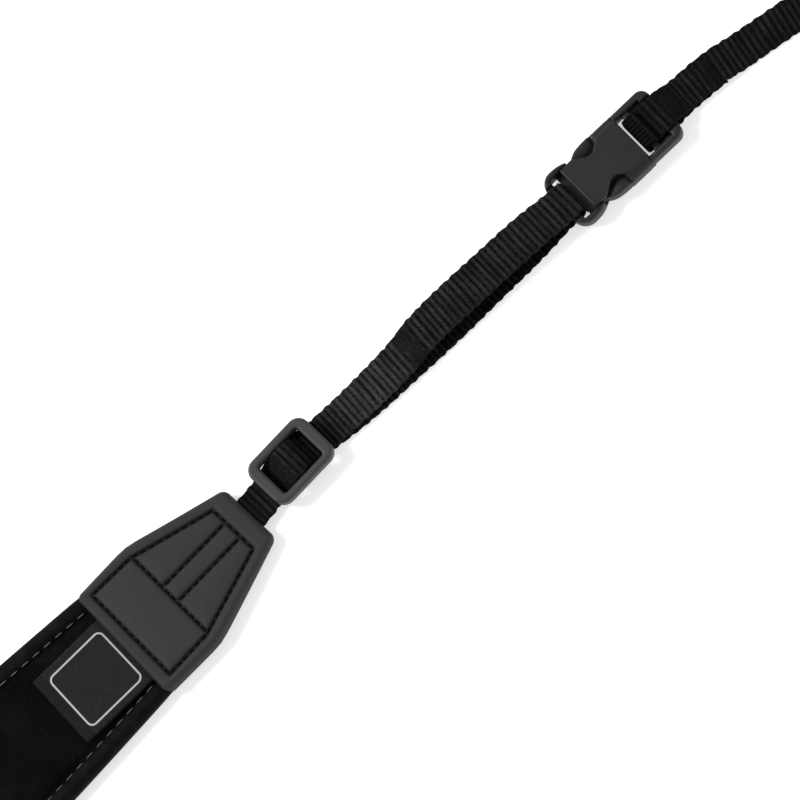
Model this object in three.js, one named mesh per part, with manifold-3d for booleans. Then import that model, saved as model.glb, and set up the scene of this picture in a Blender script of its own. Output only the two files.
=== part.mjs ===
// Camera neck strap: a soft pad whose two ends carry a stitched end tab, narrow webbing with a slider,
// a side release buckle and a camera webbing with an eye. It lies flat on a table.
// Millimetres. +Z is up, the strap runs along X, and the origin is at the pad's middle on its underside.
import * as THREE from 'three';
import { mergeVertices } from 'three/addons/utils/BufferGeometryUtils.js';
import Module from 'manifold-3d';

const wasm = await Module();
wasm.setup();

// Space left between two pieces, between webbing and the bars it runs round, and between two plies
const gap = 0.3;
const snug = 0.25;
const plyGap = 0.1;

// Lengths along the strap, from the pad's middle outwards
const padLength = 380;
const shoulderRun = 18.4;
const tabLength = 47.9;
const tabToSlider = 6.8;
const sliderLength = 21.1;
const adjusterRun = 86.8;
const buckleLength = 37.3;
const cameraRun = 110.1;
const foldBack = 18.1;
const eyeFold = 37.5;

// Places along the strap's middle line that follow from them
const padEnd = padLength / 2;
const tabShoulder = padEnd + shoulderRun;
const tabTip = padEnd + tabLength;
const sliderStart = tabTip + tabToSlider;
const sliderOut = sliderStart + sliderLength;
const buckleStart = sliderOut + adjusterRun;
const buckleOut = buckleStart + buckleLength;
const eyeEnd = buckleOut + cameraRun;

// How far the middle line has turned towards -Y, in degrees
const turns = [
  { along: 0, turned: 0 },
  { along: 0.63 * padEnd, turned: 2.3 },
  { along: 0.98 * padEnd, turned: 2.3 },
  { along: 1.02 * padEnd, turned: 0.5 },
  { along: tabShoulder, turned: 0.4 },
  { along: tabTip, turned: -0.8 },
  { along: sliderStart + 0.82 * sliderLength, turned: 0.3 },
  { along: sliderOut + 0.105 * adjusterRun, turned: 3 },
  { along: buckleOut, turned: 3.1 },
  { along: buckleOut + 0.6 * foldBack, turned: 6.5 },
  { along: buckleOut + foldBack, turned: 10.7 },
  { along: buckleOut + 1.35 * foldBack, turned: 12.3 },
  { along: eyeEnd, turned: 15.6 },
];

// Pad: a parabola widens it from its ends to its middle
const padHeight = 4.6;
const padHalfMiddle = 25;
const padHalfEnd = 18.3;
const padRing = 11;
const tongueLength = 16;
const tongueHalf = 12.3;
const tongueBottom = 1.3;
const tongueTop = 3.9;

// Edge binding of the pad
const bindingCloth = 0.8;
const bindingReach = 4.9;
const panelInset = 7;

// Label on the pad's right end
const labelLength = 24.5;
const labelWidth = 23.2;
const labelCloth = 0.4;
const labelSide = -1;

// End tab: two skins that meet in a seam
const tabHalfBase = 18.4;
const tabHalfShoulder = 18.7;
const tabHalfTip = 9.7;
const tabCorner = 1.6;
const tabSkin = 1;
const tabRim = 2.2;
const tabSeam = 2.6;

// Webbing
const webWidth = 10.4;
const webThick = 1.1;
const webMiddle = webThick / 2;
const webEdge = 0.3;
const eyeRound = 3.1;
const cameraSide = 0.5;
const plyLift = webThick + plyGap;

// Slider: a frame with a thin bar across its middle
const sliderWidth = 15.2;
const sliderSide = 1;
const sliderEndBar = 3.3;
const sliderSideBar = 1.7;
const sliderBottom = 2.65;
const sliderHeight = 3.2;
const sliderCorner = 3.3;
const middleBarWidth = 3;
const middleBarHeight = 1.2;

// Side release buckle, along x from the plug's bar
const buckleHalf = 8.9;
const barBottom = 2;
const barTop = 4.4;
const frameBottom = 1;
const frameTop = 5.4;
const plugBar = 2.5;
const plugSlot = 1.9;
const plugSlotHalf = 6.7;
const plugCorner = 4;
const plugNeck = 5.9;
const plugWaist = 7.3;
const rimEnd = 4;
const lipStart = 1.8;
const buttonLength = 7.4;
const faceHalf = 6.9;
const faceWaist = 4.3;
const socketTop = 6.4;
const legHalf = 8.6;
const legInner = 6.7;
const legCorner = 2.2;
const outerBar = 3.3;
const webSlot = 3.8;
const innerBar = 2.2;
const bodySlot = 2.2;
const tongueHalfWidth = 2;

// Places along the buckle that follow from them
const plugSlotEnd = plugBar + plugSlot;
const plugEnd = plugSlotEnd + plugNeck;
const buttonEnd = plugEnd + buttonLength;
const waistAt = plugEnd + 0.64 * buttonLength;
const outerBarStart = buckleLength - outerBar;
const innerBarEnd = outerBarStart - webSlot;
const innerBarStart = innerBarEnd - innerBar;
const bodyEnd = innerBarStart - bodySlot;
const tongueReach = (buttonEnd + bodyEnd) / 2;

const materials = {
  pad: new THREE.MeshStandardMaterial({ color: 0x161616, roughness: 0.95, metalness: 0 }),
  binding: new THREE.MeshStandardMaterial({ color: 0x101010, roughness: 0.7, metalness: 0 }),
  label: new THREE.MeshStandardMaterial({ color: 0x2c2c2c, roughness: 0.85, metalness: 0 }),
  tab: new THREE.MeshStandardMaterial({ color: 0x3c3c3c, roughness: 0.75, metalness: 0 }),
  webbing: new THREE.MeshStandardMaterial({ color: 0x1d1d1d, roughness: 0.85, metalness: 0 }),
  slider: new THREE.MeshStandardMaterial({ color: 0x4a4a4a, roughness: 0.5, metalness: 0 }),
  buckle: new THREE.MeshStandardMaterial({ color: 0x393939, roughness: 0.5, metalness: 0 }),
};

const group = new THREE.Group();
group.name = 'camera_neck_strap';

// The middle line

function turnedAt(along) {
  const far = Math.abs(along);
  let i = 1;
  while (i < turns.length - 1 && turns[i].along < far) {
    i += 1;
  }
  const share = (far - turns[i - 1].along) / (turns[i].along - turns[i - 1].along);
  const degrees = THREE.MathUtils.lerp(turns[i - 1].turned, turns[i].turned, share);
  return Math.sign(along) * THREE.MathUtils.degToRad(degrees);
}

const lineStep = 0.5;
const line = [new THREE.Vector2(0, 0)];
for (let along = lineStep; along < eyeEnd + 10; along += lineStep) {
  const turned = turnedAt(along - lineStep / 2);
  const last = line[line.length - 1];
  line.push(new THREE.Vector2(last.x + lineStep * Math.cos(turned), last.y - lineStep * Math.sin(turned)));
}

function middleAt(along) {
  const far = Math.abs(along) / lineStep;
  const i = Math.min(Math.floor(far), line.length - 2);
  const point = line[i].clone().lerp(line[i + 1], far - i);
  point.x *= Math.sign(along);
  return point;
}

// A point of the lying strap from its distance along the strap, its side offset and its height
function place(along, side, height) {
  const turned = turnedAt(along);
  const point = middleAt(along);
  return new THREE.Vector3(
    point.x + side * Math.sin(turned),
    point.y + side * Math.cos(turned),
    height,
  );
}

// Solids

// A closed solid through rings of points with flat ends; each ring is a loop in its own plane
function skin(loops, toPoint) {
  const count = loops[0].length;
  const positions = [];
  const index = [];
  loops.forEach((loop, i) => {
    loop.forEach((p) => positions.push(...toPoint(i, p).toArray()));
  });
  for (let i = 0; i < loops.length - 1; i += 1) {
    for (let j = 0; j < count; j += 1) {
      const a = i * count + j;
      const b = i * count + ((j + 1) % count);
      index.push(a, b, b + count, a, b + count, a + count);
    }
  }
  const last = (loops.length - 1) * count;
  for (const [a, b, c] of THREE.ShapeUtils.triangulateShape(loops[0], [])) {
    index.push(c, b, a);
  }
  for (const [a, b, c] of THREE.ShapeUtils.triangulateShape(loops[loops.length - 1], [])) {
    index.push(last + a, last + b, last + c);
  }
  const geometry = new THREE.BufferGeometry();
  geometry.setAttribute('position', new THREE.Float32BufferAttribute(positions, 3));
  geometry.setIndex(index);
  return geometry;
}

// A flat plate with bevelled edges, from an outline in x and y and its two heights
function plate(shape, bottom, top, bevel) {
  const geometry = new THREE.ExtrudeGeometry(shape, {
    depth: top - bottom - 2 * bevel,
    bevelEnabled: bevel > 0,
    bevelThickness: bevel,
    bevelSize: bevel,
    bevelOffset: -bevel,
    bevelSegments: 1,
    curveSegments: 4,
  });
  return geometry.translate(0, 0, bottom + bevel);
}

function block(x0, x1, half, bottom, top) {
  return new THREE.BoxGeometry(x1 - x0, 2 * half, top - bottom)
    .translate((x0 + x1) / 2, 0, (bottom + top) / 2);
}

function solid(geometry) {
  const bare = geometry.clone();
  bare.deleteAttribute('normal');
  bare.deleteAttribute('uv');
  const merged = mergeVertices(bare);
  return new wasm.Manifold(new wasm.Mesh({
    numProp: 3,
    vertProperties: merged.attributes.position.array,
    triVerts: new Uint32Array(merged.index.array),
  }));
}

function geometryOf(body) {
  const mesh = body.getMesh();
  const geometry = new THREE.BufferGeometry();
  geometry.setAttribute('position', new THREE.BufferAttribute(new Float32Array(mesh.vertProperties), 3));
  geometry.setIndex(new THREE.BufferAttribute(new Uint32Array(mesh.triVerts), 1));
  return geometry;
}

// Moves a rigid piece from its own x, counted from its start, to its place on the strap
function seat(geometry, start, length, side) {
  const centre = start + length / 2;
  const middle = place(centre, side, 0);
  return geometry
    .translate(-length / 2, 0, 0)
    .rotateZ(-turnedAt(centre))
    .translate(middle.x, middle.y, 0);
}

// The same piece for the strap's left side
function mirrored(geometry) {
  const copy = geometry.clone();
  copy.deleteAttribute('normal');
  const position = copy.attributes.position;
  for (let i = 0; i < position.count; i += 1) {
    position.setX(i, -position.getX(i));
  }
  const flat = copy.index ? copy : mergeVertices(copy);
  const index = flat.index.array;
  for (let i = 0; i < index.length; i += 3) {
    [index[i], index[i + 1]] = [index[i + 1], index[i]];
  }
  return flat;
}

function add(name, geometry, material) {
  geometry.computeVertexNormals();
  const mesh = new THREE.Mesh(geometry, material);
  mesh.name = name;
  group.add(mesh);
}

function addPair(name, geometry, material) {
  add(`${name}_right`, geometry, material);
  add(`${name}_left`, mirrored(geometry), material);
}

// The pad

function padHalf(along) {
  return padHalfMiddle - (padHalfMiddle - padHalfEnd) * (along / padEnd) ** 2;
}

function padStations() {
  const last = padEnd - gap;
  const count = 2 * Math.round(last / padRing);
  return Array.from({ length: count + 1 }, (_, i) => -last + (2 * last * i) / count);
}

// Right half of the core's section from its underside to its top, as a step in from the pad's edge
function coreHalf() {
  const side = bindingCloth + gap;
  const lip = bindingCloth + gap;
  return [
    { inset: panelInset, height: 0 },
    { inset: bindingReach + gap, height: lip },
    { inset: side + 0.6, height: lip },
    { inset: side, height: lip + 0.6 },
    { inset: side, height: padHeight - lip - 0.6 },
    { inset: side + 0.6, height: padHeight - lip },
    { inset: bindingReach + gap, height: padHeight - lip },
    { inset: panelInset, height: padHeight },
  ];
}

function wholeSection(half, rightHalf) {
  const right = rightHalf.map((p) => new THREE.Vector2(half - p.inset, p.height));
  const left = right.map((p) => new THREE.Vector2(-p.x, p.y)).reverse();
  return [...right, ...left];
}

// A thin tongue that goes into each end tab
function tongueGeometry(way) {
  const ends = [padEnd - 2 * gap, padEnd + tongueLength].map((along) => way * along);
  const alongs = way > 0 ? ends : ends.reverse();
  const loop = [
    new THREE.Vector2(tongueHalf, tongueBottom),
    new THREE.Vector2(tongueHalf, tongueTop),
    new THREE.Vector2(-tongueHalf, tongueTop),
    new THREE.Vector2(-tongueHalf, tongueBottom),
  ];
  return skin(alongs.map(() => loop), (i, p) => place(alongs[i], p.x, p.y));
}

function padGeometry() {
  const alongs = padStations();
  const loops = alongs.map((along) => wholeSection(padHalf(along), coreHalf()));
  const core = skin(loops, (i, p) => place(alongs[i], p.x, p.y));
  return geometryOf(solid(core).add(solid(tongueGeometry(1))).add(solid(tongueGeometry(-1))));
}

// Section of the binding on the +Y edge: a folded strip, outside first and then inside
function bindingSection(half) {
  const bend = 1.5;
  const soft = 0.45;
  const cloth = bindingCloth;
  const top = padHeight;
  const rows = [
    { inset: bindingReach, height: 0 },
    { inset: bend, height: 0 },
    { inset: soft, height: soft },
    { inset: 0, height: bend },
    { inset: 0, height: top - bend },
    { inset: soft, height: top - soft },
    { inset: bend, height: top },
    { inset: bindingReach, height: top },
    { inset: bindingReach, height: top - cloth },
    { inset: bend, height: top - cloth },
    { inset: cloth, height: top - bend },
    { inset: cloth, height: bend },
    { inset: bend, height: cloth },
    { inset: bindingReach, height: cloth },
  ];
  return rows.map((p) => new THREE.Vector2(half - p.inset, p.height));
}

function bindingGeometry(edge) {
  const alongs = padStations();
  const loops = alongs.map((along) => {
    const loop = bindingSection(padHalf(along));
    return edge > 0 ? loop : loop.map((p) => new THREE.Vector2(-p.x, p.y)).reverse();
  });
  return skin(loops, (i, p) => place(alongs[i], p.x, p.y));
}

function labelGeometry() {
  const end = padEnd - gap;
  const alongs = [end - labelLength, end - labelLength / 2, end];
  const bottom = padHeight + gap;
  const top = bottom + labelCloth;
  const half = labelWidth / 2;
  const loop = [
    new THREE.Vector2(labelSide + half, bottom),
    new THREE.Vector2(labelSide + half, top),
    new THREE.Vector2(labelSide - half, top),
    new THREE.Vector2(labelSide - half, bottom),
  ];
  return skin(alongs.map(() => loop), (i, p) => place(alongs[i], p.x, p.y));
}

// The end tab

function tabHalf(along) {
  let half = THREE.MathUtils.mapLinear(along, tabShoulder, tabTip, tabHalfShoulder, tabHalfTip);
  if (along < tabShoulder) {
    half = THREE.MathUtils.mapLinear(along, padEnd, tabShoulder, tabHalfBase, tabHalfShoulder);
  }
  const intoCorner = Math.max(0, along - (tabTip - tabCorner));
  return half - (tabCorner - Math.sqrt(tabCorner ** 2 - intoCorner ** 2));
}

// Height of the tab's two outer faces on its middle line
const tabFaces = [
  { along: padEnd, top: 5.6, bottom: 0 },
  { along: tabShoulder, top: 5.3, bottom: 0 },
  { along: tabTip, top: 4.3, bottom: 0.7 },
];

function tabFace(along, key) {
  const i = along < tabShoulder ? 1 : 2;
  const [a, b] = [tabFaces[i - 1], tabFaces[i]];
  return THREE.MathUtils.mapLinear(along, a.along, b.along, a[key], b[key]);
}

// How the outer face of a tab skin falls to its edge: share of the half width, share of the rise
const tabCrown = [
  { across: 1, rise: 0.45 },
  { across: 0.97, rise: 0.75 },
  { across: 0.91, rise: 0.9 },
  { across: 0.6, rise: 1 },
  { across: 0, rise: 1 },
];

// One skin of the tab; way is 1 for the front and -1 for the back
function tabSection(along, way) {
  const half = tabHalf(along);
  const face = tabFace(along, way > 0 ? 'top' : 'bottom');
  const seam = tabSeam + (way * gap) / 2;
  const inner = face - way * tabSkin;
  const pocket = Math.max(half - tabRim - tabSkin, webWidth / 2 + gap);
  const rim = Math.min(pocket + tabSkin, half - 1);
  const outer = tabCrown.map((c) => new THREE.Vector2(c.across * half, seam + c.rise * (face - seam)));
  const right = [new THREE.Vector2(rim, seam), new THREE.Vector2(half, seam), ...outer];
  const left = right.slice(0, -1).map((p) => new THREE.Vector2(-p.x, p.y)).reverse();
  const inside = [new THREE.Vector2(-pocket, inner), new THREE.Vector2(pocket, inner)];
  const loop = [...right, ...left, ...inside];
  return way > 0 ? loop : loop.reverse();
}

function tabGeometry(way) {
  const slope = tabTip - tabShoulder;
  const straight = [
    padEnd,
    padEnd + 0.43 * shoulderRun,
    padEnd + 0.92 * shoulderRun,
    tabShoulder + 0.03 * slope,
    tabShoulder + 0.3 * slope,
    tabShoulder + 0.6 * slope,
    tabTip - tabCorner,
  ];
  const corner = [0.5, 0.8, 0.97].map((share) => tabTip - tabCorner + share * tabCorner);
  const alongs = [...straight, ...corner];
  const loops = alongs.map((along) => tabSection(along, way));
  return skin(loops, (i, p) => place(alongs[i], p.x, p.y));
}

// Webbing

// The band's section: a flat strip with softened edges
function webSection() {
  const half = webWidth / 2;
  const rows = [
    { side: half - webEdge, up: -webMiddle },
    { side: half, up: -webMiddle + webEdge },
    { side: half, up: webMiddle - webEdge },
    { side: half - webEdge, up: webMiddle },
  ];
  const right = rows.map((p) => new THREE.Vector2(p.side, p.up));
  const left = right.map((p) => new THREE.Vector2(-p.x, p.y)).reverse();
  return [...right, ...left];
}

// A smooth path that stays inside the bends of its guide points
function smoothPath(guides) {
  const points = guides.map((p) => new THREE.Vector3(p.along, p.side ?? 0, p.height));
  const path = new THREE.CurvePath();
  let from = points[0];
  for (let i = 1; i < points.length - 1; i += 1) {
    const to = points[i].clone().lerp(points[i + 1], 0.5);
    path.add(new THREE.QuadraticBezierCurve3(from, points[i], to));
    from = to;
  }
  path.add(new THREE.LineCurve3(from, points[points.length - 1]));
  return path;
}

// A band along guide points given by their distance along the strap, height and side offset.
// A new ring comes where the band has bent enough or run far enough.
function band(guides) {
  const bendLimit = THREE.MathUtils.degToRad(17);
  const runLimit = 9;
  const step = 0.2;
  const curve = smoothPath(guides);
  const length = curve.getLength();
  const count = Math.ceil(length / step);
  const rings = [];
  let bent = 0;
  let last = null;
  for (let i = 0; i <= count; i += 1) {
    const at = curve.getPointAt(i / count);
    const way = curve.getTangentAt(i / count);
    const angle = Math.atan2(way.z, way.x);
    if (last) {
      bent += Math.abs(Math.atan2(Math.sin(angle - last.angle), Math.cos(angle - last.angle)));
    }
    last = { angle };
    const previous = rings[rings.length - 1];
    const run = previous ? at.distanceTo(previous.at) : Infinity;
    if (i === 0 || i === count || bent > bendLimit || run > runLimit) {
      rings.push({ at, angle });
      bent = 0;
    }
  }
  const section = webSection();
  return skin(rings.map(() => section), (i, p) => {
    const { at, angle } = rings[i];
    return place(at.x - p.y * Math.sin(angle), at.y + p.x, at.z + p.y * Math.cos(angle));
  });
}

// Heights of the band's middle where it passes a bar
const underSlider = sliderBottom - gap - webMiddle;
const middleBarTop = sliderBottom + middleBarHeight;
const overMiddleBar = middleBarTop + snug + webMiddle;
const overWrap = overMiddleBar + plyLift;
const overBar = barTop + snug + webMiddle;
const underBar = barBottom - snug - webMiddle;
const onTable = webMiddle;
const besideBar = gap + webMiddle;
const tabWeb = 2.5;

// Guide points round the side of a bar; way is 1 for its far side, and the turn goes from the top down
function turnRound(edge, way, low, high, side = 0) {
  const out = edge + way * besideBar;
  return [
    { along: edge - way, height: high, side },
    { along: out, height: high, side },
    { along: out, height: high - 1, side },
    { along: out, height: low + 1, side },
    { along: out, height: low, side },
    { along: edge - way, height: low, side },
  ];
}

// Upper ply between slider and plug: share of the way, share of the rise from the table to the plug's bar,
// and side offset as a share of the webbing's width
const upperPly = [
  { run: 0.164, rise: 0.42, side: 0.03 },
  { run: 0.348, rise: 0.63, side: 0.05 },
  { run: 0.429, rise: 0.81, side: 0.17 },
  { run: 0.682, rise: 0.94, side: 0.13 },
  { run: 0.889, rise: 1, side: 0.08 },
];

// Side offset of the lower ply between plug and slider, the same way
const lowerPly = [
  { run: 0.889, side: -0.02 },
  { run: 0.682, side: -0.06 },
  { run: 0.348, side: -0.04 },
  { run: 0.106, side: 0.02 },
];

// Out of the tab, through the slider, over the plug's bar and back under it to the slider's middle bar
function adjusterGeometry() {
  const middleBar = sliderStart + sliderLength / 2;
  const nearBar = sliderStart + sliderEndBar;
  const farBar = sliderStart + sliderLength - sliderEndBar;
  const guides = [
    { along: tabTip - 0.33 * tabLength, height: tabWeb },
    { along: tabTip - 0.12 * tabLength, height: tabWeb },
    { along: tabTip + 0.15 * tabToSlider, height: tabWeb },
    { along: sliderStart, height: underSlider, side: 0.5 * sliderSide },
    { along: nearBar + 1, height: underSlider, side: 0.7 * sliderSide },
    { along: middleBar - 3, height: overWrap - 0.4, side: sliderSide },
    { along: middleBar, height: overWrap + 0.2, side: sliderSide },
    { along: middleBar + 2.6, height: overWrap - 0.2, side: sliderSide },
    { along: farBar - 0.9, height: underSlider, side: sliderSide },
    { along: sliderOut + 1, height: underSlider, side: 0.6 * sliderSide },
    ...upperPly.map((p) => ({
      along: sliderOut + p.run * adjusterRun,
      height: p.rise * overBar,
      side: p.side * webWidth,
    })),
    { along: buckleStart - 2, height: overBar },
    ...turnRound(buckleStart + plugBar, 1, underBar, overBar),
    { along: buckleStart - 2, height: underBar },
    ...lowerPly.map((p) => ({
      along: sliderOut + p.run * adjusterRun,
      height: onTable,
      side: p.side * webWidth,
    })),
    { along: farBar, height: onTable, side: sliderSide },
    { along: middleBar + 4.6, height: (onTable + underSlider) / 2, side: sliderSide },
    { along: middleBar + 2.6, height: underSlider, side: sliderSide },
    ...turnRound(middleBar - middleBarWidth / 2, -1, underSlider, overMiddleBar, sliderSide).reverse(),
    { along: middleBar + 1.2, height: overMiddleBar, side: sliderSide },
    { along: middleBar + 2, height: overMiddleBar - 0.3, side: sliderSide },
  ];
  return band(guides);
}

// Round the socket's inner bar, sewn to itself, then out to the eye for the camera
function cameraGeometry() {
  const inner = buckleStart + innerBarStart;
  const innerEnd = buckleStart + innerBarEnd;
  const outer = buckleStart + outerBarStart;
  const fold = (share) => buckleOut + share * foldBack;
  const eye = (share) => eyeEnd - share * eyeFold;
  const eyeBend = eyeEnd - webMiddle - eyeRound;
  const eyeTop = onTable + 2 * eyeRound;
  const secondPly = onTable + plyLift;
  const guides = [
    { along: fold(1), height: onTable, side: cameraSide },
    { along: fold(0.6), height: onTable, side: cameraSide },
    { along: fold(0.17), height: onTable, side: cameraSide },
    { along: buckleOut, height: underBar },
    { along: outer, height: underBar },
    ...turnRound(inner, -1, underBar, overBar).reverse(),
    { along: innerEnd + 0.6, height: overBar },
    { along: (innerEnd + outer) / 2, height: overBar - 1.5 },
    { along: outer - 0.6, height: overBar },
    { along: buckleOut + 1.3, height: overBar },
    { along: fold(0.28), height: secondPly, side: cameraSide },
    { along: fold(0.44), height: secondPly, side: cameraSide },
    { along: fold(0.75), height: secondPly, side: cameraSide },
    { along: fold(1.08), height: secondPly, side: cameraSide },
    { along: fold(1.3), height: onTable, side: cameraSide },
    { along: fold(1.7), height: onTable, side: cameraSide },
    { along: eye(0.65), height: onTable, side: cameraSide },
    { along: eyeBend - eyeRound, height: onTable, side: cameraSide },
    { along: eyeEnd - webMiddle, height: onTable, side: cameraSide },
    { along: eyeEnd - webMiddle, height: eyeTop, side: cameraSide },
    { along: eyeBend - eyeRound, height: eyeTop, side: cameraSide },
    { along: eye(0.44), height: eyeTop, side: cameraSide },
    { along: eye(0.65), height: secondPly, side: cameraSide },
    { along: eye(0.79), height: secondPly, side: cameraSide },
    { along: eye(1), height: secondPly, side: cameraSide },
  ];
  return band(guides);
}

// Slider and buckle

function roundedRectangle(x0, x1, half, corner) {
  const shape = new THREE.Shape();
  shape.moveTo(x0 + corner, -half);
  shape.lineTo(x1 - corner, -half);
  shape.absarc(x1 - corner, -half + corner, corner, -Math.PI / 2, 0);
  shape.lineTo(x1, half - corner);
  shape.absarc(x1 - corner, half - corner, corner, 0, Math.PI / 2);
  shape.lineTo(x0 + corner, half);
  shape.absarc(x0 + corner, half - corner, corner, Math.PI / 2, Math.PI);
  shape.lineTo(x0, -half + corner);
  shape.absarc(x0 + corner, -half + corner, corner, Math.PI, 1.5 * Math.PI);
  return shape;
}

function sliderGeometry() {
  const top = sliderBottom + sliderHeight;
  const half = sliderWidth / 2;
  const windowHalf = half - sliderSideBar;
  const outline = roundedRectangle(0, sliderLength, half, sliderCorner);
  const opening = block(sliderEndBar, sliderLength - sliderEndBar, windowHalf, 0, top + 1);
  const middle = (sliderLength - middleBarWidth) / 2;
  const bar = block(middle, middle + middleBarWidth, windowHalf + 0.5, sliderBottom, middleBarTop);
  const body = solid(plate(outline, sliderBottom, top, 0.5)).subtract(solid(opening)).add(solid(bar));
  return seat(geometryOf(body), sliderStart, sliderLength, sliderSide);
}

// Outline of the plug: a frame with round outer corners that narrows to a waist
function plugOutline() {
  const control = (plugCorner + plugEnd) / 2 + 0.75;
  const shape = new THREE.Shape();
  shape.moveTo(plugCorner, -buckleHalf);
  shape.quadraticCurveTo(control, -buckleHalf + 0.1, plugEnd, -plugWaist);
  shape.lineTo(plugEnd, plugWaist);
  shape.quadraticCurveTo(control, buckleHalf - 0.1, plugCorner, buckleHalf);
  shape.absarc(plugCorner, buckleHalf - plugCorner, plugCorner, Math.PI / 2, Math.PI);
  shape.absarc(plugCorner, -buckleHalf + plugCorner, plugCorner, Math.PI, 1.5 * Math.PI);
  return shape;
}

// Squeeze button at the side of the plug, on the +Y or the -Y side
function buttonShape(way) {
  const start = plugEnd - 1;
  const end = buttonEnd - gap;
  const inner = faceWaist + 0.5;
  const points = [
    new THREE.Vector2(start, plugWaist - 0.6),
    new THREE.Vector2(start, inner - 0.6),
    new THREE.Vector2(end, inner),
    new THREE.Vector2(end, buckleHalf),
    new THREE.Vector2((start + end) / 2, buckleHalf - 0.7),
  ];
  const placed = points.map((p) => new THREE.Vector2(p.x, way * p.y));
  const shape = new THREE.Shape();
  shape.setFromPoints(way > 0 ? placed : placed.reverse());
  return shape;
}

function plugGeometry() {
  const recess = webWidth / 2 + 2 * gap;
  let body = solid(plate(plugOutline(), frameBottom, frameTop, 0.6));
  body = body.subtract(solid(block(plugBar, plugSlotEnd, plugSlotHalf, 0, socketTop)));
  body = body.subtract(solid(block(-1, plugBar + 0.01, recess, barTop, socketTop)));
  body = body.subtract(solid(block(-1, plugBar + 0.01, recess, 0, barBottom)));
  body = body.add(solid(block(plugEnd - 0.5, tongueReach, tongueHalfWidth, barBottom + 0.2, barTop - 0.2)));
  body = body.subtract(solid(block(plugSlotEnd - 0.01, plugEnd + 1, faceHalf + gap, barTop, socketTop)));
  body = body.subtract(solid(block(plugSlotEnd + rimEnd, plugEnd + 1, buckleHalf + 1, barTop, socketTop)));
  for (const way of [1, -1]) {
    body = body.add(solid(plate(buttonShape(way), frameBottom + 0.4, frameTop - 0.4, 0.4)));
  }
  return geometryOf(body);
}

// The raised face of the socket: its lip reaches over the plug, then it narrows between the buttons
function faceOutline() {
  const start = plugSlotEnd + lipStart;
  const nearControl = (plugEnd + waistAt) / 2 + 0.4;
  const farControl = waistAt + 0.2 * (bodyEnd - waistAt);
  const wideAgain = (buttonEnd + bodyEnd) / 2 - 1.5;
  const shape = new THREE.Shape();
  shape.moveTo(start, -faceHalf);
  shape.lineTo(plugEnd, -faceHalf);
  shape.quadraticCurveTo(nearControl, -faceWaist, waistAt, -faceWaist);
  shape.quadraticCurveTo(farControl, -faceWaist, wideAgain, -faceHalf);
  shape.lineTo(bodyEnd, -faceHalf);
  shape.lineTo(bodyEnd, faceHalf);
  shape.lineTo(wideAgain, faceHalf);
  shape.quadraticCurveTo(farControl, faceWaist, waistAt, faceWaist);
  shape.quadraticCurveTo(nearControl, faceWaist, plugEnd, faceHalf);
  shape.lineTo(start, faceHalf);
  return shape;
}

function socketOutline() {
  const control = (buttonEnd + bodyEnd) / 2;
  const corner = buckleLength - legCorner;
  const shape = new THREE.Shape();
  shape.moveTo(buttonEnd, -buckleHalf + 0.1);
  shape.quadraticCurveTo(control, -buckleHalf, bodyEnd, -legHalf);
  shape.lineTo(corner, -legHalf);
  shape.absarc(corner, -legHalf + legCorner, legCorner, -Math.PI / 2, 0);
  shape.absarc(corner, legHalf - legCorner, legCorner, 0, Math.PI / 2);
  shape.lineTo(bodyEnd, legHalf);
  shape.quadraticCurveTo(control, buckleHalf, buttonEnd, buckleHalf - 0.1);
  return shape;
}

function socketGeometry() {
  const recess = webWidth / 2 + 2 * gap;
  const shoulder = 0.5;
  let frame = solid(plate(socketOutline(), frameBottom, frameTop, 0.5));
  frame = frame.subtract(solid(block(bodyEnd, innerBarStart, legInner, 0, socketTop)));
  frame = frame.subtract(solid(block(innerBarEnd, outerBarStart, legInner, 0, socketTop)));
  const overBars = block(bodyEnd, buckleLength + 1, recess, barTop, socketTop);
  const underBars = block(bodyEnd, buckleLength + 1, recess, 0, barBottom);
  frame = frame.subtract(solid(overBars)).subtract(solid(underBars));
  const shell = roundedRectangle(buttonEnd, bodyEnd, buckleHalf, 1.2);
  let body = frame.add(solid(plate(shell, shoulder, socketTop - shoulder, 0.5)));
  const underLip = solid(block(plugSlotEnd, plugEnd + gap, buckleHalf, -1, barTop + gap));
  body = body.add(solid(plate(faceOutline(), 0, socketTop, 0.4)).subtract(underLip));
  const pocket = block(plugEnd, tongueReach + gap, tongueHalfWidth + gap, barBottom - 0.1, barTop + 0.1);
  const relief = block(plugEnd - 1 - gap, buttonEnd, buckleHalf, frameBottom - gap, frameTop + gap);
  return geometryOf(body.subtract(solid(pocket)).subtract(solid(relief).subtract(solid(faceCore()))));
}

// The part of the raised face that stays between the buttons
function faceCore() {
  return block(plugEnd, buttonEnd + 1, faceWaist - 0.4, 0, socketTop);
}

add('neck_pad', padGeometry(), materials.pad);
add('pad_binding_upper', bindingGeometry(1), materials.binding);
add('pad_binding_lower', bindingGeometry(-1), materials.binding);
add('woven_label', labelGeometry(), materials.label);
addPair('end_tab_front', tabGeometry(1), materials.tab);
addPair('end_tab_back', tabGeometry(-1), materials.tab);
addPair('adjuster_webbing', adjusterGeometry(), materials.webbing);
addPair('slider', sliderGeometry(), materials.slider);
addPair('buckle_plug', seat(plugGeometry(), buckleStart, buckleLength, 0), materials.buckle);
addPair('buckle_socket', seat(socketGeometry(), buckleStart, buckleLength, 0), materials.buckle);
addPair('camera_webbing', cameraGeometry(), materials.webbing);

export default group;
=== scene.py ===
import math

import bpy
import numpy as np
from bpy.props import FloatProperty, FloatVectorProperty, PointerProperty
from mathutils import Matrix, Vector


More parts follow.
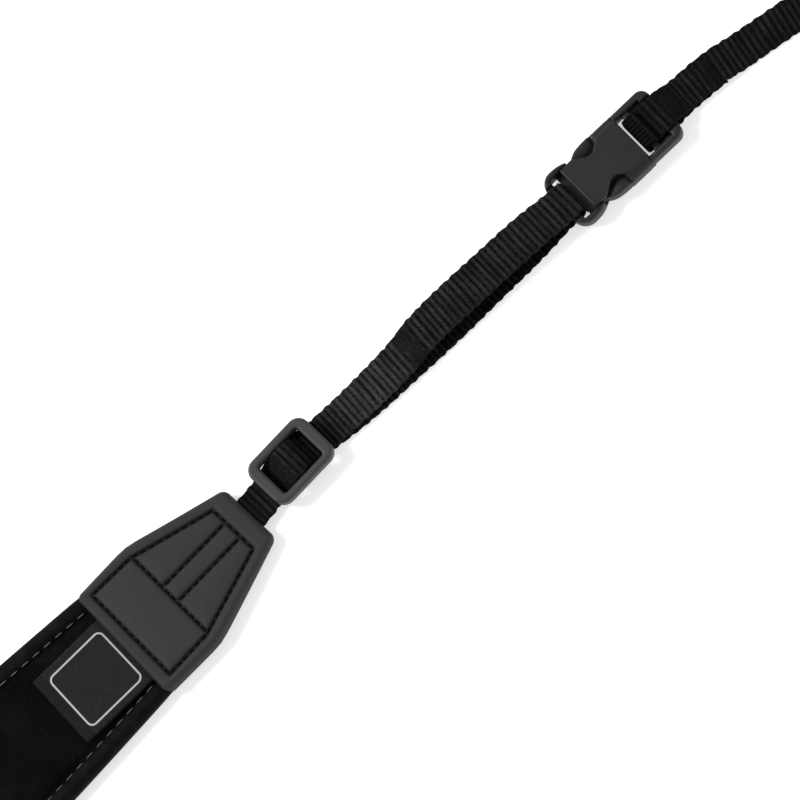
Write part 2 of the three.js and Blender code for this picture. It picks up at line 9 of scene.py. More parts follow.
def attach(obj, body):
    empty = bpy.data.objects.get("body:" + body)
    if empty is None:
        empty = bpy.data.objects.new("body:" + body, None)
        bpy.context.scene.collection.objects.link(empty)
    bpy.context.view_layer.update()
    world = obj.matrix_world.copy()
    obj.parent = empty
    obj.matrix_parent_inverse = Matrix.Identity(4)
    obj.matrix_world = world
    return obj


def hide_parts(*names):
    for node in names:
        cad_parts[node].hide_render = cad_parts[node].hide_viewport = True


bl_info = {
    "name": "Camera neck strap",
    "version": (1, 0, 0),
    "blender": (4, 5, 0),
    "location": "View3D > Sidebar > Strap",
    "description": "Models a padded camera neck strap that lies on a table",
    "category": "Add Mesh",
}

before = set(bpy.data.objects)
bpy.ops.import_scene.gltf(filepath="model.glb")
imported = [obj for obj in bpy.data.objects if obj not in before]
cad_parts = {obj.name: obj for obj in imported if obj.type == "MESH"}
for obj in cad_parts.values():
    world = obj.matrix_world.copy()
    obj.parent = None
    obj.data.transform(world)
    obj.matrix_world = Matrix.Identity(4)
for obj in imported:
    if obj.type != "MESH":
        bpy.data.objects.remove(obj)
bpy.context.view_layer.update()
MM = 0.001

# Places along the strap in millimetres, counted from the pad's middle
PAD_END = 190.0
TAB_TIP = 237.9
TAB_SHOULDER = 208.4
SLIDER_START = 244.7
BUCKLE_START = 352.6
EYE_END = 500.0

# How far the strap's middle line has turned towards -Y, in degrees, at each place along it
TURNS = np.array([
    (0, 0), (119.7, 2.3), (186.2, 2.3), (193.8, 0.5), (TAB_SHOULDER, 0.4), (TAB_TIP, -0.8),
    (262.0, 0.3), (274.9, 3.0), (389.9, 3.1), (400.8, 6.5), (408.0, 10.7), (414.3, 12.3), (EYE_END, 15.6),
])

# Webbing and slider, in millimetres
WEB_HALF = 5.2
WEB_THICK = 1.1
SLIDER_LENGTH = 21.1
SLIDER_HALF = 7.6
SLIDER_BOTTOM = 2.65
SLIDER_TOP = 6.2
SLIDER_CORNER = 3.4
SLIDER_END_BAR = 3.3
SLIDER_SIDE_BAR = 2.25
MIDDLE_BAR_HALF = 1.5
MIDDLE_BAR_TOP = SLIDER_BOTTOM + 0.7

# Buckle: places along it, then half widths, then heights, in millimetres
PLUG_BAR = 2.5
PLUG_SLOT_END = 4.4
LIP_START = 6.2
SHOULDER_START = 8.2
RIM_END = 8.9
PLUG_END = 10.3
DISH_MIDDLE = 15.2
BUTTON_END = 17.7
TONGUE_END = 21
BODY_END = 25.8
INNER_BAR = (28.0, 30.2)
LEDGE = (29.5, 34.5)
OUTER_BAR = (34.0, 37.3)
BUCKLE_LENGTH = 37.3
BUCKLE_HALF = 8.9
BARS_HALF = 7.0
SLOT_HALF = 5.6
TONGUE_HALF = 2.0
BAR_BOTTOM = 2.0
BAR_TOP = 4.4
RIM_BOTTOM = 1.0
RIM_TOP = 5.4
LEG_TOP = 5.3
RIM_ROUND = 0.8
BAR_ROUND = 0.5
NECK_BOTTOM = 1.7
NECK_TOP = 2.6
SHOULDER_TOP = 4.5
LIP_BOTTOM = 4.7
FACE_TOP = 6.4
BODY_BOTTOM = 0.4
BODY_TOP = 5.95
BUTTON_BOTTOM = 1.4
BUTTON_TOP = 5.3
DISH_DEPTH = 1.5

# How far the slider and the camera webbing lie to the side of the middle line, in millimetres
SLIDER_SIDE = 1.0
CAMERA_SIDE = 0.5


# The strap's middle line


def read(table, places):
    """Values between the rows of a table of places and values."""
    return np.interp(places, table[:, 0], table[:, 1])


LINE_STEP = 0.25
LINE_ALONG = np.arange(0, EYE_END + 12, LINE_STEP)
LINE_TURN = np.radians(read(TURNS, LINE_ALONG))
LINE_X = np.concatenate([[0], np.cumsum(LINE_STEP * np.cos(LINE_TURN[:-1]))])
LINE_Y = np.concatenate([[0], np.cumsum(-LINE_STEP * np.sin(LINE_TURN[:-1]))])


def turned(along):
    return np.sign(along) * np.interp(np.abs(along), LINE_ALONG, LINE_TURN)


def place(along, side, height):
    """Points in metres from distances along the strap, side offsets and heights in millimetres."""
    along, side, height = np.broadcast_arrays(*(np.asarray(v, float) for v in (along, side, height)))
    turn = turned(along)
    x = np.sign(along) * np.interp(np.abs(along), LINE_ALONG, LINE_X)
    y = np.interp(np.abs(along), LINE_ALONG, LINE_Y)
    return np.stack([x + side * np.sin(turn), y + side * np.cos(turn), height], -1) * MM


# Mesh helpers


def mesh_from(name, points, faces, corner_uvs=None):
    mesh = bpy.data.meshes.new(name)
    mesh.from_pydata([tuple(p) for p in points], [], faces)
    if corner_uvs is not None:
        layer = mesh.uv_layers.new(name="UVMap")
        layer.data.foreach_set("uv", np.asarray(corner_uvs, float).ravel())
    mesh.validate()
    mesh.update()
    return mesh


def skin_faces(rows, count, first=0):
    """Faces of a closed skin through rings of points, with a cap at each end."""
    faces = []
    for i in range(rows - 1):
        a = first + i * count
        b = a + count
        for j in range(count):
            k = (j + 1) % count
            faces.append((a + j, a + k, b + k, b + j))
    last = first + (rows - 1) * count
    faces.append(tuple(first + j for j in reversed(range(count))))
    faces.append(tuple(last + j for j in range(count)))
    return faces


def loft(name, rings, u, v):
    """A closed skin; u has a value for each ring, and v one for each point and the way back."""
    rows, count = rings.shape[:2]
    uvs = []
    for i in range(rows - 1):
        for j in range(count):
            uvs += [(u[i], v[j]), (u[i], v[j + 1]), (u[i + 1], v[j + 1]), (u[i + 1], v[j])]
    uvs += [(u[0], v[j]) for j in reversed(range(count))]
    uvs += [(u[-1], v[j]) for j in range(count)]
    return mesh_from(name, rings.reshape(-1, 3), skin_faces(rows, count), uvs)


def travel_along(points):
    """Distance from the first point of a line to each of its points."""
    steps = np.linalg.norm(np.diff(points, axis=0), axis=1)
    return np.concatenate([[0], np.cumsum(steps)])


def ring_v(section):
    """Distance round a section in metres, with the way back to its start."""
    return travel_along(np.vstack([section, section[:1]])) * MM


def set_values(mesh, name, values):
    """Gives each point of a mesh a number that its material reads."""
    numbers = np.asarray(values).ravel().astype(np.float32)
    mesh.attributes.new(name, "FLOAT", "POINT").data.foreach_set("value", numbers)


def link(name, data):
    obj = bpy.data.objects.new(name, data)
    bpy.context.scene.collection.objects.link(obj)
    return obj


def smooth_shade(mesh, degrees):
    mesh.shade_smooth()
    mesh.set_sharp_from_angle(angle=math.radians(degrees))


def joined(name, meshes):
    """One mesh from several, each in its own place already."""
    points = []
    faces = []
    for mesh in meshes:
        start = len(points)
        points += [v.co.copy() for v in mesh.vertices]
        faces += [tuple(start + i for i in p.vertices) for p in mesh.polygons]
    return mesh_from(name, points, faces)


def add_piece(mesh, material, nodes):
    """Links a mesh as a piece of the strap that stands for CAD nodes."""
    obj = link(mesh.name, mesh)
    mesh.materials.clear()
    mesh.materials.append(material)
    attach(obj, "root")
    if nodes:
        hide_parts(*nodes)
    return obj


def add_pair(mesh, material, nodes):
    """The right-hand piece and its mirrored copy; node names are given without their side."""
    mirrored = mesh.copy()
    mirrored.name = mesh.name + "_left"
    mirrored.transform(Matrix.Scale(-1, 4, Vector((1, 0, 0))))
    mirrored.flip_normals()
    mesh.name += "_right"
    add_piece(mesh, material, [node + "_right" for node in nodes])
    add_piece(mirrored, material, [node + "_left" for node in nodes])


# Materials


class Value:
    """A number socket of a node tree that can be used in sums."""

    def __init__(self, shade, socket):
        self.shade = shade
        self.socket = socket

    def _math(self, operation, *others):
        inputs = dict(enumerate((self, *others)))
        node = self.shade.node("ShaderNodeMath", {"operation": operation}, inputs)
        return Value(self.shade, node.outputs[0])

    def __add__(self, other):
        return self._math("ADD", other)

    __radd__ = __add__

    def __mul__(self, other):
        return self._math("MULTIPLY", other)

    __rmul__ = __mul__

    def __sub__(self, other):
        return self._math("SUBTRACT", other)

    def __rsub__(self, other):
        return (self * -1) + other

    def power(self, exponent):
        return self._math("POWER", exponent)

    def wave(self, pitch):
        """A wave that repeats at each pitch."""
        return (self * (2 * math.pi / pitch))._math("SINE")

    def size(self):
        return self._math("ABSOLUTE")

    def highest(self, other):
        return self._math("MAXIMUM", other)

    def step(self, low, high):
        """0 below low, 1 above high, and smooth between them."""
        settings = {"interpolation_type": "SMOOTHSTEP"}
        node = self.shade.node("ShaderNodeMapRange", settings, {0: self, 1: low, 2: high})
        return Value(self.shade, node.outputs[0])


class Shade:
    """A material whose nodes are added one at a time."""

    def __init__(self, name):
        self.material = bpy.data.materials.new(name)
        self.material.use_nodes = True
        self.tree = self.material.node_tree
        self.shader = self.tree.nodes["Principled BSDF"]

    def feed(self, socket, value):
        if isinstance(value, Value):
            self.tree.links.new(value.socket, socket)
        elif isinstance(value, bpy.types.NodeSocket):
            self.tree.links.new(value, socket)
        else:
            socket.default_value = value

    def node(self, kind, settings=None, sockets=None):
        node = self.tree.nodes.new(kind)
        for name, value in (settings or {}).items():
            setattr(node, name, value)
        for key, value in (sockets or {}).items():
            self.feed(node.inputs[key], value)
        return node

    def uv(self):
        """Metres along a piece and round it."""
        split = self.node("ShaderNodeSeparateXYZ", None, {0: self.node("ShaderNodeUVMap").outputs[0]})
        return Value(self, split.outputs[0]), Value(self, split.outputs[1])

    def spot(self):
        return self.node("ShaderNodeTexCoord").outputs["Object"]

    def noise(self, per_metre, detail=2.0, rough=0.5):
        inputs = {"Vector": self.spot(), "Scale": per_metre, "Detail": detail, "Roughness": rough}
        return Value(self, self.node("ShaderNodeTexNoise", None, inputs).outputs["Fac"])

    def patchwork(self, x, y):
        """Noise over two values, so that its spots can be longer one way."""
        where = self.node("ShaderNodeCombineXYZ", None, {0: x, 1: y}).outputs[0]
        inputs = {"Vector": where, "Scale": 1.0, "Detail": 2.0}
        node = self.node("ShaderNodeTexNoise", {"noise_dimensions": "2D"}, inputs)
        return Value(self, node.outputs["Fac"])

    def cells(self, per_metre):
        node = self.node("ShaderNodeTexVoronoi", None, {"Vector": self.spot(), "Scale": per_metre})
        return Value(self, node.outputs["Distance"])

    def attribute(self, name):
        return Value(self, self.node("ShaderNodeAttribute", {"attribute_name": name}).outputs["Fac"])

    def blend(self, share, first, second):
        node = self.node("ShaderNodeMix", {"data_type": "RGBA"})
        self.feed(node.inputs["Factor"], share)
        for key, colour in ((6, first), (7, second)):
            value = colour if isinstance(colour, bpy.types.NodeSocket) else (*colour, 1.0)
            self.feed(node.inputs[key], value)
        return node.outputs[2]

    def bump(self, height, distance, strength=1.0):
        inputs = {"Height": height, "Distance": distance, "Strength": strength}
        return self.node("ShaderNodeBump", None, inputs).outputs[0]

    def finish(self, colour, roughness, normal=None, **constants):
        self.feed(self.shader.inputs["Base Color"], colour)
        self.feed(self.shader.inputs["Roughness"], roughness)
        if normal is not None:
            self.feed(self.shader.inputs["Normal"], normal)
        for name, value in constants.items():
            self.shader.inputs[name.replace("_", " ")].default_value = value
        return self.material


def grey(level, tint=1.0):
    return (level, level, level * tint)


def pad_material(looks):
    """Short nap over foam: dark, with fine pale specks and no gloss."""
    shade = Shade("pad_nap")
    specks = shade.noise(2600, 3.0, 0.7)
    cloud = shade.noise(120, 2.0)
    share = (specks * 0.75 + cloud * 0.25).step(0.42, 0.72)
    colour = shade.blend(share, grey(0.35 * looks.pad), grey(1.9 * looks.pad))
    normal = shade.bump(specks, 0.00025, 0.8)
    return shade.finish(colour, 0.95, normal, Specular_IOR_Level=0.05)


def binding_material(looks):
    """Smooth knitted binding with a faint gloss and fine lengthwise loops."""
    shade = Shade("binding_knit")
    u, v = shade.uv()
    loops = u.wave(0.0007) * v.wave(0.0006)
    cloud = shade.noise(300, 3.0)
    colour = shade.blend(cloud.step(0.3, 0.7), grey(0.6 * looks.binding), grey(1.4 * looks.binding))
    normal = shade.bump(loops * 0.5 + cloud * 2, 0.0001, 0.6)
    return shade.finish(colour, 0.6, normal, Specular_IOR_Level=0.05)


def label_material(looks):
    """Fine woven cloth with a white line frame."""
    shade = Shade("label_weave")
    u, v = shade.uv()
    thread = 0.00045
    weave = u.wave(thread) * v.wave(thread)
    corner = LABEL_CORNER * MM
    across = ((u - LABEL_FRAME_AT[0] * MM).size() - (LABEL_FRAME[0] / 2 * MM - corner)).highest(0)
    beside = ((v - LABEL_FRAME_AT[1] * MM).size() - (LABEL_FRAME[1] / 2 * MM - corner)).highest(0)
    out = ((across * across + beside * beside).power(0.5) - corner).size()
    inside = across.highest(beside).step(0, 0.0002)
    line = LABEL_LINE * MM
    share = (1 - out.step(line * 0.3, line * 0.6)) * inside
    fold = 1 - u.step((LABEL_FOLD + 0.2) * MM, (LABEL_FOLD + 0.5) * MM)
    cloud = shade.noise(900, 3.0)
    ground = shade.blend(cloud, grey(0.6 * looks.label), grey(1.35 * looks.label))
    folded = shade.blend(fold * 0.45, ground, grey(0.3 * looks.label))
    colour = shade.blend(share * (0.86 + weave * 0.12), folded, grey(0.6))
    normal = shade.bump(weave, 0.00006, 0.7)
    return shade.finish(colour, 0.85, normal, Specular_IOR_Level=0.12)


def tab_material(looks):
    """Matt coated cloth with a fine pebble grain; its seams are dark, partly from the dark seam line and
    partly from painted shade in their grooves.
    """
    shade = Shade("tab_grain")
    grain = shade.cells(2600)
    cloud = shade.noise(160, 3.0)
    seam = shade.attribute("seam")
    share = (cloud * 0.7 + grain * 0.5).step(0.3, 0.8)
    skin = shade.blend(share, grey(0.86 * looks.tab), grey(1.12 * looks.tab))
    # Dark band along the seams: the dark seam line and painted shade in its groove
    colour = shade.blend(seam, skin, grey(0.1 * looks.tab))
    roughness = 0.55 + cloud * 0.2
    normal = shade.bump(grain + cloud * 0.6, 0.00007, 0.5)
    return shade.finish(colour, roughness, normal, Specular_IOR_Level=0.22)


def webbing_material(looks):
    """Ribbed band: dull crests that differ, painted light on the crests and painted shade in the gaps, the
    gaps broken into dark dots, and a plainer selvedge.
    """
    shade = Shade("webbing_ribs")
    u, v = shade.uv()
    uneven = shade.patchwork(u * 520, v * 90)
    knots = shade.patchwork(u * 900, v * 1300)
    blotch = shade.noise(170, 3.0)
    fibre = shade.noise(3300, 3.0, 0.7)
    column = v.wave(WEB_COLUMN * MM)
    selvedge = v.size().step((WEB_HALF - 1.1) * MM, (WEB_HALF - 0.2) * MM)
    sewn = shade.attribute("sewn")
    fold = shade.attribute("fold")
    crest = shade.attribute("crest")
    # Painted light on the rib crests and painted shade in the valleys between them, broken into dots
    shaded_ribs = crest.power(1.5) + (1 - crest) * knots.step(0.42, 0.66) * 0.45
    ribs = shaded_ribs * (0.25 + uneven) * (1 - selvedge * 0.6) + selvedge * 0.3
    blocks = column.step(-0.6, 0.5) * 0.5
    lit = ribs * (1 - fold) + blocks * fold
    level = (lit * (1 - sewn) + sewn * (0.14 + knots * 0.42)) * (0.3 + fibre.step(0.3, 0.7) * 0.9)
    # Painted light and shade along the strap, carried by a value on each point of the band
    level = level * (0.55 + blotch * 0.8) * shade.attribute("painted_light")
    colour = shade.blend(level.step(-0.03, 1.1), grey(0.08 * looks.webbing), grey(3.4 * looks.webbing))
    height = fibre * 0.9 + uneven * 0.4 + knots * 0.7 + column * fold * 1.5
    normal = shade.bump(height, 0.0002, 0.7)
    return shade.finish(colour, 0.9, normal, Specular_IOR_Level=0.06)


def plastic_material(name, level):
    """Moulded plastic with a fine spark texture and small changes of gloss."""
    shade = Shade(name)
    spark = shade.noise(5200, 2.0, 0.6)
    cloud = shade.noise(90, 3.0)
    share = (spark * 0.5 + cloud * 0.5).step(0.3, 0.7)
    colour = shade.blend(share, grey(0.86 * level, 1.01), grey(1.12 * level, 1.01))
    roughness = 0.4 + cloud * 0.16
    normal = shade.bump(spark, 0.00005, 0.5)
    return shade.finish(colour, roughness, normal, Specular_IOR_Level=0.3)


def thread_material(name, level):
    """Twisted sewing thread."""
    shade = Shade(name)
    twist = shade.noise(9000, 1.0)
    colour = shade.blend(twist.step(0.3, 0.7), grey(0.6 * level), grey(1.25 * level))
    normal = shade.bump(twist, 0.00005, 0.6)
    return shade.finish(colour, 0.8, normal, Specular_IOR_Level=0.1)


def floor_material(level, glow):
    """Pale paper that glows a little, so that it stays even."""
    shade = Shade("floor")
    cloud = shade.noise(30, 2.0)
    colour = shade.blend(cloud, grey(0.98 * level), grey(level))
    light = {"Emission_Strength": glow, "Emission_Color": (1, 1, 1, 1)}
    return shade.finish(colour, 0.95, None, Specular_IOR_Level=0.1, **light)


# Stitches: places along a thread and its thickness there, as shares

THREAD_PLACES = np.array([0.0, 0.12, 0.35, 0.65, 0.88, 1.0])
THREAD_FAT = np.array([0.15, 0.7, 1.0, 1.0, 0.7, 0.15])
THREAD_ANGLES = np.arange(6) * math.pi / 3


def stitches_on(points, ups, pitch, length, radius):
    """Rings of small threads along a line of points in metres, each sunk in its surface."""
    travel = travel_along(points)
    count = max(1, int(travel[-1] / pitch))
    starts = (np.arange(count) + 0.5) * travel[-1] / count - length / 2
    cosine = np.cos(THREAD_ANGLES)[:, None]
    sine = np.sin(THREAD_ANGLES)[:, None]
    threads = []
    for start in starts:
        at = start + THREAD_PLACES * length
        centre = np.stack([np.interp(at, travel, points[:, k]) for k in range(3)], -1)
        up = np.stack([np.interp(at, travel, ups[:, k]) for k in range(3)], -1)
        way = np.gradient(centre, axis=0)
        way /= np.linalg.norm(way, axis=1, keepdims=True)
        beside = np.cross(up, way)
        centre = centre + up * (radius * (THREAD_FAT[:, None] - 0.9))
        out = beside[:, None] * cosine + up[:, None] * sine
        threads.append(centre[:, None] + out * radius * THREAD_FAT[:, None, None])
    return threads


def stitch_mesh(name, lines, pitch, length, radius):
    """One mesh of all stitches along several lines, each a pair of points and up directions."""
    threads = []
    for points, ups in lines:
        threads += stitches_on(points, ups, pitch, length, radius)
    rows, count = len(THREAD_PLACES), len(THREAD_ANGLES)
    faces = []
    for i in range(len(threads)):
        faces += skin_faces(rows, count, i * rows * count)
    mesh = mesh_from(name, np.concatenate(threads).reshape(-1, 3), faces)
    smooth_shade(mesh, 60)
    return mesh


# The pad, its binding and its label

PAD_HEIGHT = 4.6
PAD_HALF_MIDDLE = 25.0
PAD_HALF_END = 18.3
BINDING_REACH = 4.9
LABEL_LENGTH = 24.8
LABEL_WIDTH = 22.6
LABEL_SIDE = -1.5
LABEL_FRAME = (18.6, 17.8)
LABEL_FRAME_AT = (12.9, -0.3)
LABEL_CORNER = 1.7
LABEL_LINE = 0.54
LABEL_FOLD = 2.7
PRESSED_RUN = 3.0
PAD_THREAD = 0.16


def pad_half(along):
    return PAD_HALF_MIDDLE - (PAD_HALF_MIDDLE - PAD_HALF_END) * (along / PAD_END) ** 2


def pad_dent(along, side):
    """Small waves of the foam's surface in millimetres."""
    slow = np.sin(along / 17.0 + 1.3) * np.cos(side / 9.0 + along / 31.0)
    fast = np.sin(along / 6.1 + side / 4.3)
    return 0.1 * slow + 0.03 * fast


def near_tab(along):
    """0 along the pad, and up to 1 over its last stretch, where a tab presses it."""
    return np.clip((abs(along) - (PAD_END - PRESSED_RUN)) / PRESSED_RUN, 0, 1) ** 1.5


# Half of the pad's upper outline: step in from the edge, height as a share of the pad's height
PAD_ROWS = np.array([
    (1.0, 0.5), (1.2, 0.66), (2.0, 0.76), (3.4, 0.77), (4.7, 0.74), (5.3, 0.73), (5.8, 0.76),
    (6.4, 0.86), (7.2, 0.945), (8.6, 0.985), (11.0, 1.0),
])
PAD_ACROSS = 17


def pad_section(along):
    half = pad_half(along)
    inset = PAD_ROWS[:, 0]
    share = PAD_ROWS[:, 1]
    inner = np.linspace(half - inset[-1], -(half - inset[-1]), PAD_ACROSS)[1:-1]
    side = np.concatenate([half - inset, inner, -(half - inset)[::-1]])
    crown = np.concatenate([share, np.ones(len(inner)), share[::-1]])
    top = crown * PAD_HEIGHT
    panel = np.clip((crown - 0.8) / 0.2, 0, 1)
    under = PAD_HEIGHT - top
    flat = np.where(panel > 0.95, 0.0, under)
    high = top + pad_dent(along, side) * panel
    lower_side = side[::-1][1:-1]
    lower = flat[::-1][1:-1]
    return np.stack([np.concatenate([side, lower_side]), np.concatenate([high, lower])], -1)


def pad_skin(name, section_at, end, step, pressed, v, sharp):
    """A skin along the whole pad through the sections of one function, pressed flatter near the tabs."""
    alongs = np.linspace(-end, end, int(2 * end / step) + 1)
    rings = []
    for along in alongs:
        section = section_at(along)
        heights = section[:, 1] + near_tab(along) * pressed * (PAD_HEIGHT / 2 - section[:, 1])
        rings.append(place(along, section[:, 0], heights))
    mesh = loft(name, np.array(rings), alongs * MM, v)
    smooth_shade(mesh, sharp)
    return mesh


def pad_mesh(step):
    return pad_skin("pad", pad_section, PAD_END + 1.2, step, 0.35, ring_v(pad_section(0.0)), 70)


def binding_section(half, pucker):
    """Closed section of the +Y binding: a flattened roll round the pad's edge."""
    rows = np.array([
        (BINDING_REACH + 0.1, 0.72), (4.3, 0.87), (3.4, 0.965), (2.4, 1.0), (1.4, 0.965),
        (0.6, 0.86), (0.12, 0.7), (0.0, 0.5),
    ])
    inset = np.concatenate([rows[:, 0], rows[-2::-1, 0]])
    share = np.concatenate([rows[:, 1], 1 - rows[-2::-1, 1]])
    swell = np.where(np.abs(share - 0.5) > 0.3, pucker, 0)
    height = share * PAD_HEIGHT + swell * np.sign(share - 0.5) * 0.5 + 0.05
    loop = np.stack([half - inset, np.maximum(height, 0.02)], -1)
    return loop[::-1]


def binding_mesh(name, edge, step, pitch):
    """The binding of the pad's +Y edge (edge 1) or -Y edge (-1)."""

    def section_at(along):
        pucker = 0.09 * math.cos(2 * math.pi * along / pitch) + 0.05 * math.sin(along / 11.0 + edge)
        section = binding_section(pad_half(along), pucker)
        return section if edge > 0 else section[::-1] * np.array([-1, 1])

    v = ring_v(binding_section(PAD_HALF_END, 0.0))
    return pad_skin(name, section_at, PAD_END + 0.8, step, 0.25, v, 80)


def pad_stitch_lines():
    """Lines of the seam beside each binding, on the top and on the underside."""
    alongs = np.arange(-PAD_END + 1, PAD_END - 1 + 0.01, 2.0)
    lines = []
    for edge in (1, -1):
        side = edge * (pad_half(alongs) - BINDING_REACH + 0.25)
        for up, height in ((1, PAD_HEIGHT * 0.885), (-1, PAD_HEIGHT * 0.115)):
            points = place(alongs, side, height)
            ups = np.tile((0.0, 0.0, float(up)), (len(alongs), 1))
            lines.append((points, ups))
    return lines


def label_mesh(step):
    """A thin cloth with softened edges; u runs from its folded end and v from its middle."""
    start = PAD_END + 0.6 - LABEL_LENGTH
    count = int(LABEL_LENGTH / step)
    alongs = np.linspace(start, start + LABEL_LENGTH, count + 1)
    half = LABEL_WIDTH / 2
    inner = np.linspace(half - 0.5, -half + 0.5, 30)
    sides = np.concatenate([[half, half - 0.12], inner, [-half + 0.12, -half]])
    rings = []
    for along in alongs:
        base = PAD_HEIGHT * (1 - near_tab(along) * 0.175) + pad_dent(along, sides + LABEL_SIDE)
        rim = np.minimum(1, (half - np.abs(sides)) / 0.5) ** 0.5
        end = min(1.0, (along - start) / 0.6) ** 0.5
        fold = 0.18 * (1 - np.clip((along - start - LABEL_FOLD) / 0.4, 0, 1))
        top = base + 0.12 + (0.42 + fold) * rim * end
        side = np.concatenate([sides, sides[::-1]]) + LABEL_SIDE
        rings.append(place(along, side, np.concatenate([top, base - 0.2])))
    v = np.concatenate([sides, sides[::-1], sides[:1]]) * MM
    mesh = loft("label", np.array(rings), (alongs - start) * MM, v)
    smooth_shade(mesh, 60)
    return mesh


# The end tabs: values by threes are for start, shoulder and tip, and 1 is the front skin, -1 the back one

TAB_PLACES = (PAD_END, TAB_SHOULDER, TAB_TIP)
TAB_HALVES = (18.4, 18.7, 9.7)
TAB_FACES = {1: (5.5, 5.2, 4.2), -1: (0.0, 0.0, 0.7)}
TAB_SEAM = 2.6
TAB_ROUND = 1.7
TAB_SPAN = 50
TAB_CORNER = 1.8
TAB_START = PAD_END - 0.4
TAB_BASE_CORNER = 1.8
CORNER_STEPS = np.array([0.0, 0.04, 0.12, 0.25, 0.4, 0.6, 0.8, 1.0])
SEAM_BASE = 193.4
SEAM_TIP = 231.8
SEAM_SHOULDER = 207.4
SEAM_HALVES = (15.3, 14.9, 7.7)
# Reach of the dark seam line and the painted shade in its groove, in millimetres
SEAM_SHADE_REACH = 0.64
SEAM_DEPTH = 0.5
PANEL_SWELL = 0.4
RIB_SIDE = 2.9
TAB_THREAD = 0.3
STITCH_DEPTHS = {1: 0.36, -1: 0.4}


def tab_half(along):
    width = np.interp(along, TAB_PLACES, TAB_HALVES)
    pinch = np.exp(-((along - TAB_SHOULDER) / 2.0) ** 2) * 0.2
    into = np.clip(along - (TAB_TIP - TAB_CORNER), 0, TAB_CORNER)
    before = np.clip(TAB_START + TAB_BASE_CORNER - along, 0, TAB_BASE_CORNER)
    cut = TAB_CORNER - np.sqrt(np.maximum(TAB_CORNER**2 - into**2, 0))
    cut = cut + TAB_BASE_CORNER - np.sqrt(np.maximum(TAB_BASE_CORNER**2 - before**2, 0))
    return width - pinch - cut


def tab_face(along, way):
    """Height of the outer face of the front skin (way 1) or the back one (-1)."""
    return np.interp(along, TAB_PLACES, TAB_FACES[way])


def tab_seams():
    """Seam lines of the tab as lists of (along, side)."""
    base, shoulder, tip = SEAM_HALVES
    outer = [
        (SEAM_BASE, base), (SEAM_SHOULDER, shoulder), (SEAM_TIP, tip),
        (SEAM_TIP, -tip), (SEAM_SHOULDER, -shoulder), (SEAM_BASE, -base), (SEAM_BASE, base),
    ]
    cross = [(SEAM_SHOULDER + 0.6, shoulder - 0.6), (SEAM_SHOULDER + 0.6, -shoulder + 0.6)]
    rib_end = SEAM_TIP - 0.8
    ribs = [[(SEAM_SHOULDER + 1.2, way * RIB_SIDE), (rib_end, way * RIB_SIDE)] for way in (1, -1)]
    return [outer, cross, *ribs]


def distance_to(along, side, a, b):
    """Distance of points to the line from a to b."""
    run = (b[0] - a[0], b[1] - a[1])
    share = ((along - a[0]) * run[0] + (side - a[1]) * run[1]) / (run[0] ** 2 + run[1] ** 2)
    share = np.clip(share, 0, 1)
    return np.hypot(along - a[0] - share * run[0], side - a[1] - share * run[1])


def seam_distance(along, side):
    nearest = np.full(np.shape(along), 1e3)
    for seam in tab_seams():
        for a, b in zip(seam, seam[1:]):
            nearest = np.minimum(nearest, distance_to(along, side, a, b))
    return nearest


def tab_relief(along, side):
    """Height of the tab's skin over its flat face: swollen panels, and grooves at the seams."""
    near = seam_distance(along, side)
    groove = -SEAM_DEPTH * np.exp(-((near / 0.6) ** 2))
    swell = PANEL_SWELL * (1 - np.exp(-near / 2.0))
    wave = 0.05 * np.sin(along / 3.1 + side / 4.7) * np.cos(side / 6.0)
    return groove + swell + wave


def tab_mesh(way, step):
    """One skin of the tab; way is 1 for the front and -1 for the back."""
    base = TAB_START + TAB_BASE_CORNER * CORNER_STEPS
    tip = TAB_TIP - TAB_CORNER * CORNER_STEPS[::-1]
    alongs = np.concatenate([base, np.arange(base[-1] + step, tip[0] - step / 2, step), tip])
    shares = np.sin(np.linspace(math.pi / 2, -math.pi / 2, int(TAB_SPAN / step)))
    rings = []
    seam_shade = []
    for along in alongs:
        half = float(tab_half(np.clip(along, TAB_START + 0.02, TAB_TIP - 0.02)))
        side = shares * half
        edge = np.minimum(half - np.abs(side), TAB_TIP - along)
        edge = np.minimum(edge, (along - TAB_START) * 1.5 + 0.35)
        rise = np.sqrt(np.clip(1 - (1 - np.clip(edge / TAB_ROUND, 0, 1)) ** 2, 0, 1))
        relief = tab_relief(np.full_like(side, along), side)
        if way < 0:
            relief = np.minimum(relief, 0)
        outer = TAB_SEAM + rise * (tab_face(along, way) - TAB_SEAM + way * relief)
        outer = np.maximum(outer, 0.0)
        seam = np.full_like(side, TAB_SEAM - way * 0.02)
        loop_side = np.concatenate([side, side[::-1][1:-1]])
        loop_height = np.concatenate([outer, seam[1:-1]])
        loop_side = loop_side[::way]
        loop_height = loop_height[::way]
        rings.append(place(along, loop_side, loop_height))
        # Dark band along the seams for the material: the dark seam line and painted shade in its groove
        near = seam_distance(np.full_like(loop_side, along), loop_side)
        seam_shade.append(np.exp(-((near / SEAM_SHADE_REACH) ** 4)))
    # The last section is the narrow tip's, so it is drawn out to about the width of the whole tab
    v = ring_v(np.stack([loop_side * 1.8, loop_height], -1))
    mesh = loft("tab_front" if way > 0 else "tab_back", np.array(rings), alongs * MM, v)
    set_values(mesh, "seam", seam_shade)
    smooth_shade(mesh, 60)
    return mesh


def tab_stitch_lines(way):
    lines = []
    for seam in tab_seams():
        for a, b in zip(seam, seam[1:]):
            count = max(2, int(math.dist(a, b)))
            along = np.linspace(a[0], b[0], count)
            side = np.linspace(a[1], b[1], count)
            height = tab_face(along, way) - way * STITCH_DEPTHS[way]
            ups = np.tile((0.0, 0.0, float(way)), (count, 1))
            lines.append((place(along, side, height), ups))
    return lines


# Webbing: heights of its middle, and the room that it leaves to the bars, in millimetres

